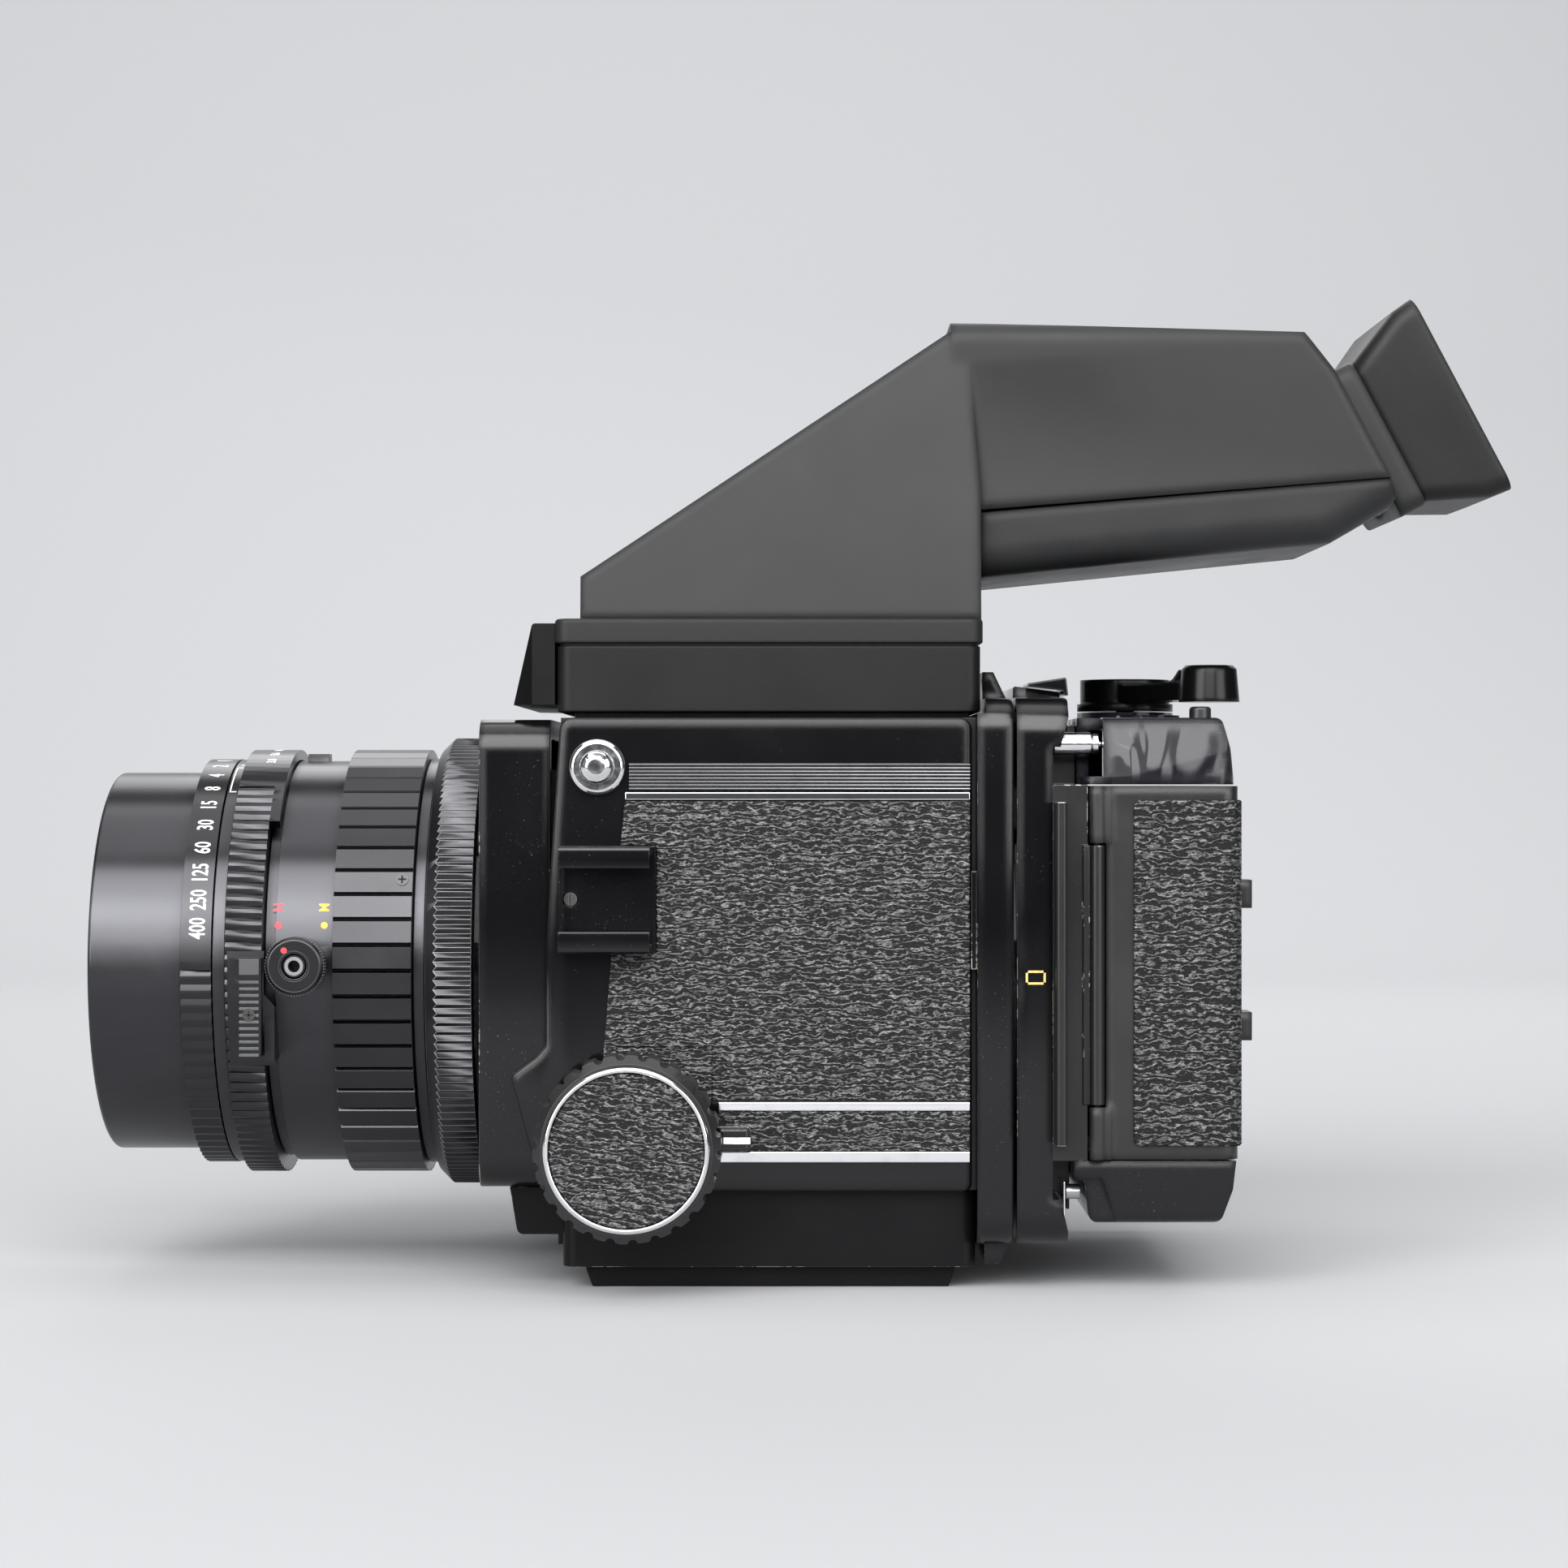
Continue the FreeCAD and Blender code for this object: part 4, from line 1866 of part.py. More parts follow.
# Prism finder
def finder_base():
    bottom = plate("XY", rounded(("finder_front", "finder_rear"), both_sides("finder_half"), "finder_corner"),
                   ("finder_low", "rim_low"))
    waist = plate("XY", rounded(("finder_front + rim_notch", "finder_rear - rim_notch"),
                                both_sides("finder_half - rim_notch"), "finder_corner - rim_notch"),
                  ("rim_low - 0.5", "rim_low + 1"))
    rim = plate("XY", rounded(("finder_front - rim_proud", "finder_rear + rim_proud"),
                              both_sides("finder_half + rim_proud"), "finder_corner"),
                ("rim_low + 0.6", "rim_top"), "0.8")
    hollow = block(("finder_front + finder_wall", "finder_rear - finder_wall"),
                   both_sides("finder_half - finder_wall"), ("finder_low - 1", "rim_top - finder_wall"))
    light = block(both_sides("finder_light_half"), both_sides("finder_light_half"),
                  ("finder_low", "rim_top + 1"))
    piece("finder_base", cut(join(bottom, waist, rim), hollow, light))


def wedge_solid(inset):
    """The finder's front: its roof slopes up to the back and its sides lean in."""
    side = plate("XZ", [
        (f"wedge_front + {inset}", f"rim_top - {inset}"),
        (f"wedge_front + {inset}", f"wedge_low_front_top - 0.5 * {inset}"),
        (f"wedge_peak_x - 0.3 * {inset}", f"wedge_peak - {inset}"),
        (f"wedge_rear - {inset}", f"tube_seam_front + 4"),
        (f"wedge_rear - {inset}", f"rim_top - {inset}"),
    ], both_sides("wedge_half"))
    end = plate("YZ", [
        (f"-(wedge_half - {inset})", f"rim_top - {inset} - 1"),
        (f"wedge_half - {inset}", f"rim_top - {inset} - 1"),
        (f"wedge_top_half - {inset}", "wedge_peak", "tube_corner"),
        (f"-(wedge_top_half - {inset})", "wedge_peak", "tube_corner"),
    ], ("wedge_front - 1", "wedge_rear + 1"))
    return overlap(side, end)


EYE = FreeCAD.Rotation(Vec(0, 1, 0), -number("eye_tilt"))


def eye_rod(radius, start, end):
    """A cylinder along the eyepiece axis, measured from the finder's back."""
    cylinder = doc.addObject("Part::Cylinder", "EyeRod")
    bind(cylinder, "Radius", radius)
    bind(cylinder, "Height", f"({end}) - ({start})")
    return place(cylinder, EYE.multiply(ROD_TURNS["X"]), f"eye_x + ({start}) * cos(eye_tilt)", "0",
                 f"eye_z + ({start}) * sin(eye_tilt)")


# The finder's back is square to the eyepiece axis
BACK_TOP_X = "(eye_x - (tube_back_top - eye_z) * tan(eye_tilt))"
SEAM_REAR_X = "(eye_x - (tube_seam_rear - eye_z) * tan(eye_tilt))"


def tube_solid(half, inset, start):
    """The eyepiece tube's upper shell."""
    return plate("XZ", [
        (start, "tube_seam_front" if inset == "0" else "tube_seam_front + 3"),
        (start, f"wedge_peak - {inset}"),
        (f"tube_top_rear_x - 0.6 * {inset}", f"tube_top_rear - {inset}"),
        (f"{BACK_TOP_X} - 1.2 * {inset}", f"tube_back_top - 0.6 * {inset}"),
        (f"{SEAM_REAR_X} - 1.2 * {inset}", f"tube_seam_rear + 0.6 * {inset}"),
    ], both_sides(half))


def finder_housing():
    outer = tube_solid("tube_half", "0", "wedge_peak_x - 3")
    section = plate("YZ", [
        ("-tube_half", "tube_low_front - 2"),
        ("tube_half", "tube_low_front - 2"),
        ("tube_half", "wedge_peak", "tube_corner"),
        ("-tube_half", "wedge_peak", "tube_corner"),
    ], ("wedge_peak_x - 4", f"{SEAM_REAR_X} + 2"))
    inner = tube_solid("tube_half - finder_shell", "finder_shell", "wedge_rear - 6")
    hole = eye_rod("eye_bore", "-8", "6")
    outside = join(wedge_solid("0"), overlap(outer, section))
    floor = block(("wedge_front + finder_shell", "wedge_rear - finder_shell"),
                  both_sides("wedge_half - finder_shell"), ("rim_top - 1", "rim_top + 3"))
    piece("finder_housing", cut(outside, wedge_solid("finder_shell"), floor, inner, hole))
    under = plate("XZ", [
        ("wedge_rear + seat_gap", "tube_low_front"),
        ("tube_low_bend_x", "tube_low_bend"),
        ("tube_low_corner_x", "tube_low_corner"),
        ("tube_low_rear_x", "tube_low_rear"),
        (f"{SEAM_REAR_X} - seat_gap", "tube_seam_rear - seat_gap"),
        ("wedge_rear + seat_gap", "tube_seam_front - seat_gap"),
    ], both_sides("under_cover_half"), run=("under_cover_round", 2))
    piece("finder_bottom_cover", under)


def finder_glass():
    prism = plate("XZ", [
        ("prism_front", "rim_top"),
        ("prism_rear", "rim_top"),
        ("prism_rear", "prism_top"),
        ("prism_front", "prism_front_top"),
    ], both_sides("prism_half - 1"))
    roof = plate("YZ", [
        ("-prism_half", "rim_top - 1"),
        ("prism_half", "rim_top - 1"),
        ("wedge_top_half - finder_shell - 3", "wedge_peak"),
        ("-(wedge_top_half - finder_shell - 3)", "wedge_peak"),
    ], ("prism_front - 1", "prism_rear + 1"))
    eyepiece = eye_rod("eye_bore + eye_lens_ledge", "0", "eye_lens_thick")
    piece("finder_glass", group(overlap(prism, roof), eyepiece))


def rounded_wire(x, half_wide, half_high, corner):
    """A rounded rectangle square to +X, made of lines and quarter arcs."""
    edges = []
    centres = [(1, 1), (-1, 1), (-1, -1), (1, -1)]
    for i, (sy, sz) in enumerate(centres):
        cy, cz = sy * (half_wide - corner), sz * (half_high - corner)
        a0 = math.pi / 2 * i
        spots = [Vec(x, cy + corner * math.cos(a), cz + corner * math.sin(a))
                 for a in (a0, a0 + math.pi / 4, a0 + math.pi / 2)]
        if edges:
            edges.append(Part.LineSegment(last, spots[0]).toShape())
        else:
            first = spots[0]
        edges.append(Part.Arc(*spots).toShape())
        last = spots[2]
    edges.append(Part.LineSegment(last, first).toShape())
    return Part.Wire(edges)


def eye_base():
    return Vec(number("eye_x"), 0, number("eye_z"))


def eyepiece_frame():
    wire = rounded_wire(0, number("eye_frame_half_wide"), number("eye_frame_half_high"),
                        number("eye_frame_corner"))
    frame = Part.Face(wire).extrude(Vec(number("eye_frame_thick"), 0, 0))
    bore = Part.makeCylinder(number("eye_bore"), number("eye_frame_thick") + 2, Vec(-1, 0, 0), Vec(1, 0, 0))
    frame = frame.makeFillet(number("eye_frame_round"), [e for e in frame.Edges if all(
        abs(v.Point.x - number("eye_frame_thick")) < 1e-6 for v in e.Vertexes)])
    seat = Part.makeCylinder(number("eye_bore") + number("eye_lens_ledge") + number("seat_gap"),
                             number("eye_lens_thick") + number("seat_gap") + 1, Vec(-1, 0, 0), Vec(1, 0, 0))
    piece("eyepiece_frame", shaped(frame.cut(bore).cut(seat), EYE, eye_base()))


def eyecup():
    """A rubber cup that flares from the frame to a thick rounded rim."""
    start = number("eye_frame_thick")
    end = start + number("cup_depth")
    rim = number("cup_rim_thick")
    wall = number("cup_wall")
    corner = number("cup_corner")
    neck = (number("cup_neck_half_wide"), number("cup_neck_half_high"))
    lip = (number("cup_rim_half_wide"), number("cup_rim_half_high"))
    lean = number("cup_rim_lean")
    root = (lip[0] - lean, lip[1] - lean)
    stations = [(start, neck), (start + number("cup_foot"), neck), (end - rim, root), (end, lip)]

    def skin(inset, first, last):
        wires = []
        for i, (x, (wide, high)) in enumerate(stations):
            x = first if i == 0 else last if i == len(stations) - 1 else x
            wires.append(rounded_wire(x, wide - inset, high - inset, corner - 0.5 * inset))
        return Part.makeLoft(wires, True, True)
    cup = skin(0.0, start, end).cut(skin(wall, start - 1, end + 1))
    piece("eyecup", shaped(cup, EYE, eye_base()))


def front_nameplate():
    side = plate("XZ", [
        ("plate_low_front", "plate_low"),
        ("finder_front - rim_proud", "plate_low"),
        ("finder_front - rim_proud", "plate_top"),
        ("plate_top_front", "plate_top", "0.8"),
    ], both_sides("plate_half"))
    plan = plate("XY", [
        ("finder_front", "-plate_half"),
        ("finder_front", "plate_half"),
        ("plate_low_front + plate_chamfer", "plate_half"),
        ("plate_low_front", "plate_half - plate_chamfer"),
        ("plate_low_front", "-plate_half + plate_chamfer"),
        ("plate_low_front + plate_chamfer", "-plate_half"),
    ], ("plate_low - 1", "plate_top + 1"))
    piece("front_nameplate", overlap(side, plan))


body_casting()
side_covers()
leather_panels()
chrome_strips()
ribbed_trim_plates()
strap_lugs()
accessory_shoe()
base_housing()
tripod_foot()
release()
focusing_screen()
mirror()
cocking_lever()
rear_flange()
front_plate()
bellows()
focus_racks()
focus_shaft()
focus_knobs()
focus_lock_lever()
lens_core()
front_barrel()
lens_glass()
speed_ring()
aperture_ring()
mid_barrel()
mirror_up_collar()
preview_slider()
scale_ring()
lock_ring()
revolving_adapter()
holder_case()
dark_slide()
rear_door()
top_cap()
bottom_cap()
advance_lever()
film_insert()
spool("feed_spool", "-spool_y", "film_roll")
spool("take_up_spool", "spool_y", "spool_core")
finder_base()
finder_housing()
finder_glass()
eyepiece_frame()
eyecup()
front_nameplate()

doc.recompute()

for obj in doc.Objects:
    if "Invalid" in obj.State or "Error" in obj.State:
        raise RuntimeError(f"{obj.Name} ({obj.Label}) failed: {obj.State}")
for obj in PIECES:
    if obj.Shape.isNull() or not obj.Shape.isValid() or not obj.Shape.Solids:
        raise RuntimeError(f"{obj.Label} has no valid solid")

os.makedirs("parts", exist_ok=True)
for obj in PIECES:
    obj.Shape.exportStep(f"parts/{obj.Label}.step")
    print(f"{obj.Label}: {len(obj.Shape.Solids)} solid(s), {obj.Shape.Volume / 1000:.2f} cm3")
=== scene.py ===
import bpy
import bmesh
import json
import math
from mathutils import Matrix, Vector


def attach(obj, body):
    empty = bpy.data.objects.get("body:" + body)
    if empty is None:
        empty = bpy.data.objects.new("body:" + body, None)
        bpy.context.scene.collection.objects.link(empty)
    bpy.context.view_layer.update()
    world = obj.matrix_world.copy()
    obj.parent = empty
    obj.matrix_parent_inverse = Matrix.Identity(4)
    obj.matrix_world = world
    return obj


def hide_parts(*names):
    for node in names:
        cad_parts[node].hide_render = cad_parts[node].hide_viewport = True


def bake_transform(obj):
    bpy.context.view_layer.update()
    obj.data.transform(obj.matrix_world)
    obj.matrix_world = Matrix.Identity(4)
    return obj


# Medium format film camera on a pale sweep, seen from its left side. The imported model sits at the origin.
# Values are in metres, except where a docstring or a comment says mm.
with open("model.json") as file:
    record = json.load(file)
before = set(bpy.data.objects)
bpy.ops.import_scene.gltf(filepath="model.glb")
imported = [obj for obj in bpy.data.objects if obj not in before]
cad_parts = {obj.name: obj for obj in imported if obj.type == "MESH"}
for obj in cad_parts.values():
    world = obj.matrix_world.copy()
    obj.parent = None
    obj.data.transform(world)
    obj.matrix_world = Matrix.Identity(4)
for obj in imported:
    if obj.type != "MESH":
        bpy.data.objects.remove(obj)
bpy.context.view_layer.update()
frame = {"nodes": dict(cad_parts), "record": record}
bodies = {node: body for body, nodes in frame["record"]["behaviour"]["bodies"].items() for node in nodes}
MM = 0.001
# Height of the lens axis, in mm and in metres
LENS_AXIS = 64.0
LENS_Z = LENS_AXIS * MM
# How far the filled figures and marks stand out of a ring, in mm
FILLING = 0.04


# Node tree helpers
class Tree:
    """Short calls for building one material."""

    def __init__(self, name, base, rough, metal=0.0, **sockets):
        self.material = bpy.data.materials.new(name)
        self.material.use_nodes = True
        self.tree = self.material.node_tree
        self.shader = self.tree.nodes["Principled BSDF"]
        self.put("Base Color", (*base, 1.0))
        self.put("Roughness", rough)
        self.put("Metallic", metal)
        for socket, value in sockets.items():
            self.put(socket.replace("_", " ").title().replace("Ior", "IOR"), value)
        self.normal = None

    def put(self, socket, value):
        self.shader.inputs[socket].default_value = value

    def add(self, kind, inputs=None, **settings):
        made = self.tree.nodes.new("ShaderNode" + kind)
        for key, value in settings.items():
            setattr(made, key, value)
        for key, value in (inputs or {}).items():
            if isinstance(value, bpy.types.NodeSocket):
                self.tree.links.new(value, made.inputs[key])
            else:
                made.inputs[key].default_value = value
        return made

    def link(self, output, socket):
        self.tree.links.new(output, self.shader.inputs[socket])

    def place(self, scale=(1, 1, 1), turn=(0, 0, 0)):
        """The place on the object, scaled into cells and turned."""
        where = self.add("TexCoord")
        move = self.add("Mapping", {"Vector": where.outputs["Object"], "Scale": scale, "Rotation": turn})
        return move.outputs["Vector"]

    def noise(self, scale, detail=4.0, rough=0.55, vector=None, distort=0.0):
        made = self.add("TexNoise", {
            "Vector": vector or self.place(), "Scale": scale, "Detail": detail,
            "Roughness": rough, "Distortion": distort})
        return made.outputs["Fac"]

    def remap(self, value, low, high, out_low=0.0, out_high=1.0, smooth=False):
        """Takes low to out_low and high to out_high, and stops there."""
        made = self.add("MapRange", {
            "Value": value, "From Min": low, "From Max": high, "To Min": out_low, "To Max": out_high})
        if smooth:
            made.interpolation_type = "SMOOTHSTEP"
        return made.outputs["Result"]

    def math(self, kind, a, b=0.0):
        return self.add("Math", {0: a, 1: b}, operation=kind).outputs[0]

    def mix(self, factor, dark, light):
        """Mixes two colours, each a tuple or an output, by an output."""
        made = self.add("Mix", {0: factor}, data_type="RGBA")
        for socket, value in ((6, dark), (7, light)):
            if isinstance(value, tuple):
                made.inputs[socket].default_value = (*value, 1.0)
            else:
                self.tree.links.new(value, made.inputs[socket])
        return made.outputs[2]

    def rounded(self, radius):
        """Eases the edges in the shading alone."""
        self.normal = self.add("Bevel", {"Radius": radius}, samples=6).outputs["Normal"]

    def bump(self, height, distance, strength=1.0):
        inputs = {"Height": height, "Distance": distance, "Strength": strength}
        if self.normal is not None:
            inputs["Normal"] = self.normal
        self.normal = self.add("Bump", inputs).outputs["Normal"]
        self.link(self.normal, "Normal")


# Materials. Noise scales count ripples in a metre, or in a cell of a scaled place.
BARE_METAL = (0.35, 0.33, 0.3)
DUST = (0.16, 0.16, 0.16)


def enamel(name, base, rough, wear=0.0, ripple=0.0, ease=0.0):
    """Sprayed gloss paint: orange peel, faint haze, dust, and bare metal where wear shows."""
    t = Tree(name, base, rough, specular_ior_level=0.33, coat_weight=0.2, coat_roughness=0.04)
    if ease:
        t.rounded(ease)
    haze = t.noise(38.0, 5.0, 0.6)
    specks = t.remap(t.noise(2600.0, 2.0, 0.5), 0.70, 0.74, 0.0, 0.5)
    color = t.mix(t.math("MULTIPLY", specks, t.remap(haze, 0.45, 0.65)), base, DUST)
    if wear:
        patch = t.math("MULTIPLY", t.noise(70.0, 3.0, 0.6), t.noise(520.0, 6.0, 0.7))
        threshold = 0.355 - 0.06 * wear
        bare = t.remap(patch, threshold, threshold + 0.025)
        color = t.mix(bare, color, BARE_METAL)
        t.link(t.remap(bare, 0.0, 1.0, rough, 0.38), "Roughness")
        t.link(t.remap(bare, 0.0, 1.0, 0.0, 0.85), "Metallic")
    else:
        t.link(t.remap(haze, 0.3, 0.75, rough * 0.7, rough * 1.7), "Roughness")
    t.link(color, "Base Color")
    if ripple:
        stretched = t.place((1.6, 1.0, 0.6))
        t.bump(t.noise(48.0, 1.5, 0.4, stretched, distort=0.6), ripple)
    t.bump(t.noise(900.0, 2.0, 0.5), 0.00001, 0.25)
    return t.material


def satin(name, base, rough, grain=1800.0, depth=0.00002, spread=0.25, smudge=0.3, lift=1.6, gloss=0.5,
          ease=0.0):
    """Matt or satin paint and moulded plastic: a fine grain, smudges of base times lift, rubbed patches."""
    t = Tree(name, base, rough, specular_ior_level=gloss)
    if ease:
        t.rounded(ease)
    broad = t.noise(24.0, 5.0, 0.65, distort=0.4)
    t.link(t.remap(broad, 0.3, 0.75, rough * (1 - spread), rough * (1 + spread)), "Roughness")
    bright = tuple(min(1.0, c * lift) for c in base)
    t.link(t.mix(t.remap(broad, 0.42, 0.72, 0.0, smudge), base, bright), "Base Color")
    t.bump(t.noise(grain, 3.0, 0.6), depth, 0.6)
    return t.material


def two_tone(name, low, high, seam, rough):
    """Satin paint that is a shade lighter above a seam at a height."""
    blend = 0.0002
    t = Tree(name, low, rough, specular_ior_level=0.2)
    t.rounded(0.0006)
    broad = t.noise(24.0, 5.0, 0.65, distort=0.4)
    height = t.add("SeparateXYZ", {0: t.place()}).outputs["Z"]
    color = t.mix(t.remap(height, seam - blend, seam + blend), low, high)
    t.link(t.mix(t.remap(broad, 0.42, 0.72, 0.0, 0.35), color, high), "Base Color")
    t.link(t.remap(broad, 0.3, 0.75, rough * 0.8, rough * 1.2), "Roughness")
    t.bump(t.noise(1500.0, 3.0, 0.6), 0.00003, 0.6)
    return t.material


def metal(name, base, rough, lined=False, scratch=0.5):
    """Plated metal, or with lined a brushed one with fine lines along X."""
    t = Tree(name, base, rough, 1.0)
    lines = t.noise(1.0, 3.0, 0.6, t.place((60, 2600, 2600) if lined else (700, 700, 700)))
    spots = t.noise(160.0, 5.0, 0.7)
    t.link(t.remap(lines, 0.3, 0.7, rough * (1 - scratch), rough * (1 + scratch)), "Roughness")
    tarnish = tuple(0.6 * c for c in base)
    t.link(t.mix(t.remap(spots, 0.5, 0.75, 0.0, 0.5), base, tarnish), "Base Color")
    t.bump(lines, 0.000004, 0.4)
    return t.material


def leatherette(name, wide, high, depth, tilt=0.0, base=(0.005, 0.005, 0.0055), highlight_color=(0.172, 0.172, 0.175)):
    """Wrinkled leather cloth: ridges wide and high apart, glossy. Painted shade darkens the valleys between
    the ridges, and a painted highlight makes a paler band on the upper side of each ridge, stronger in some
    patches than in others.
    """
    t = Tree(name, base, 0.4, specular_ior_level=0.6)
    where = t.place((1 / wide, 1 / wide, 1 / high), (0.0, math.radians(tilt), 0.0))
    row = t.add("SeparateXYZ", {0: where}).outputs["Z"]
    wander = t.math("MULTIPLY", t.noise(0.9, 2.0, 0.6, where), 3.4)
    crinkle = t.math("MULTIPLY", t.noise(3.4, 2.0, 0.6, where), 1.1)
    phase = t.math("FRACT", t.math("ADD", row, t.math("ADD", wander, crinkle)))
    off = t.math("ABSOLUTE", t.math("SUBTRACT", phase, 0.5))
    ridge = t.remap(off, 0.05, 0.4, 1.0, 0.0, smooth=True)
    # The band just above the middle of each ridge, where the painted highlight goes.
    above = t.math("ABSOLUTE", t.math("SUBTRACT", phase, 0.63))
    highlight_band = t.remap(above, 0.02, 0.18, 1.0, 0.0, smooth=True)
    worn = t.remap(t.noise(2.0, 3.0, 0.7, where), 0.38, 0.6, 0.12, 1.0)
    # Painted shade: the valleys darker than the ridges.
    grey = t.mix(ridge, base, tuple(0.1 * c for c in highlight_color))
    # Painted highlight: the paler band on the upper side of each ridge, stronger where the worn noise is
    # high.
    t.link(t.mix(t.math("MULTIPLY", highlight_band, worn), grey, highlight_color), "Base Color")
    t.link(t.remap(ridge, 0.1, 1.0, 0.6, 0.34), "Roughness")
    t.link(t.remap(ridge, 0.0, 0.8, 0.15, 0.7), "Specular IOR Level")
    t.bump(ridge, depth)
    t.bump(t.noise(5200.0, 2.0, 0.5), 0.00001, 0.3)
    return t.material


def anodised(name, base, rough, spread=0.9):
    """Turned and dyed aluminium: the sheen spreads along the lens, across the fine turning."""
    t = Tree(name, base, rough, 1.0)
    t.put("Anisotropic", spread)
    t.put("Anisotropic Rotation", 0.25)
    t.link(t.add("Tangent", direction_type="RADIAL", axis="X").outputs[0], "Tangent")
    broad = t.noise(26.0, 5.0, 0.65, distort=0.4)
    t.link(t.remap(broad, 0.3, 0.75, rough * 0.88, rough * 1.12), "Roughness")
    bright = tuple(1.5 * c for c in base)
    t.link(t.mix(t.remap(broad, 0.4, 0.72, 0.0, 0.5), base, bright), "Base Color")
    t.bump(t.noise(1.0, 2.0, 0.5, t.place((5200, 300, 300))), 0.000002, 0.4)
    return t.material


def glass(name, tint, rough=0.02):
    """Coated or ground glass, with a faint bloom."""
    t = Tree(name, tint, rough, transmission_weight=1.0, ior=1.52, coat_weight=0.5, coat_roughness=0.02)
    t.link(t.remap(t.noise(60.0, 3.0), 0.3, 0.7, rough, rough * 2.5), "Roughness")
    t.bump(t.noise(30.0, 2.0), 0.000002, 0.1)
    return t.material


def paint(name, color, rough=0.5):
    """Filled lettering and dots."""
    t = Tree(name, color, rough)
    thin = tuple(0.7 * c for c in color)
    t.link(t.mix(t.remap(t.noise(900.0, 4.0, 0.7), 0.35, 0.6), thin, color), "Base Color")
    t.bump(t.noise(3000.0, 2.0), 0.000005, 0.3)
    return t.material


BLACK = (0.003, 0.003, 0.0036)
WORN_BLACK = (0.012, 0.012, 0.013)
MATS = {
    "enamel": enamel("gloss_enamel", BLACK, 0.1, ease=0.0005),
    "enamel_wide": enamel("gloss_enamel_wide", BLACK, 0.1, ease=0.0026),
    "enamel_rim": enamel("worn_enamel_rim", WORN_BLACK, 0.16, wear=0.8, ease=0.0026),
    "enamel_edge": enamel("worn_enamel_edge", WORN_BLACK, 0.16, wear=1.0),
    # The cap's gloss black is lighter than the other enamel: painted reflection, standing in for part of its
    # bright sheen.
    "cap_enamel": enamel("cap_gloss_enamel", (0.007, 0.007, 0.0095), 0.07, ripple=0.0034, ease=0.004),
    "door_paint": satin("door_satin_black", (0.009, 0.009, 0.0095), 0.3, 1500.0, spread=0.2, ease=0.0026),
    "satin": satin("satin_black", (0.006, 0.006, 0.0065), 0.32, gloss=0.4),
    "base_paint": satin("base_black", (0.0032, 0.0032, 0.0036), 0.32, 900.0, gloss=0.14),
    "name_paint": satin("nameplate_black", (0.002, 0.002, 0.0022), 0.4, 1500.0, gloss=0.15),
    "finder": satin("finder_grey", (0.0099, 0.0101, 0.0106), 0.46, 2400.0, spread=0.22, smudge=0.5,
                    gloss=0.27, ease=0.003),
    "finder_dark": two_tone("finder_base_black", (0.0026, 0.0026, 0.003), (0.0105, 0.0107, 0.0111),
                            seam=0.1294, rough=0.5),
    "leather": leatherette("body_leather_cloth", 0.0028, 0.0012, 0.00026),
    "leather_door": leatherette("door_leather_cloth", 0.0032, 0.0015, 0.00036, highlight_color=(0.154, 0.154, 0.157)),
    "leather_knob": leatherette("knob_leather_cloth", 0.0028, 0.0012, 0.00026, tilt=-24.0),
    "chrome": metal("bright_chrome", (0.86, 0.86, 0.88), 0.08, lined=True),
    "chrome_y": metal("turned_chrome", (0.8, 0.8, 0.81), 0.14, scratch=0.4),
    "steel": metal("brushed_steel", (0.5, 0.5, 0.51), 0.3, lined=True, scratch=0.4),
    "trim": metal("trim_metal", (0.16, 0.16, 0.165), 0.2, lined=True, scratch=0.4),
    "brass": metal("bush_brass", (0.6, 0.47, 0.24), 0.3),
    "lens": anodised("lens_anodised", (0.062, 0.062, 0.067), 0.37),
    "lens_dark": anodised("lens_grip_black", (0.047, 0.047, 0.05), 0.33, spread=0.8),
    # A light grey for ring edges and knurl teeth: partly rubbed anodising, partly a painted highlight on
    # them.
    "lens_edge": satin("rubbed_edge_and_highlight", (0.16, 0.16, 0.165), 0.3, 3000.0, 0.000006, spread=0.2,
                       smudge=0.6, lift=0.5, gloss=0.9),
    # A lighter grey for the ribs of the preview grip and the lips of the shoe and its screw: partly rubbed
    # paint, partly painted highlight.
    "lens_rib": satin("worn_rib_and_highlight", (0.06, 0.06, 0.062), 0.3, 3000.0, 0.000006, spread=0.3, smudge=0.8,
                      lift=1.8),
    "rubber": satin("cup_rubber", (0.0045, 0.0045, 0.0047), 0.5, 1400.0, 0.00003, spread=0.15, gloss=0.3,
                    ease=0.002),
    "plastic": satin("grip_plastic", (0.008, 0.008, 0.0085), 0.35, 1500.0, 0.00003, spread=0.2),
    "gloss_plastic": satin("gloss_grip_plastic", (0.002, 0.002, 0.0022), 0.2, 900.0, 0.00001, spread=0.2,
                           gloss=0.18, ease=0.0012),
    "plastic_edge": satin("rubbed_plastic", (0.03, 0.03, 0.03), 0.3, 1500.0, spread=0.2),
    "cloth": satin("bellows_cloth", (0.012, 0.012, 0.012), 0.7, 1200.0, 0.00008, spread=0.1),
    "glass": glass("coated_glass", (0.82, 0.86, 0.9)),
    "screen": glass("ground_glass", (0.85, 0.87, 0.88), 0.4),
    "mirror": metal("silvered_mirror", (0.9, 0.91, 0.92), 0.02, scratch=0.2),
    "film": satin("film_backing", (0.32, 0.27, 0.18), 0.6, 900.0, spread=0.1),
    "white": paint("white_filling", (0.8, 0.8, 0.77)),
    "red": paint("red_filling", (0.75, 0.03, 0.05)),
    "yellow": paint("yellow_filling", (0.85, 0.42, 0.03)),
    "gold": paint("gold_filling", (0.72, 0.5, 0.16), 0.3),
    # Painted shade: flat black for the slots of the screws.
    "slot_shade": satin("painted_slot_shade", (0.003, 0.003, 0.003), 0.8),
}


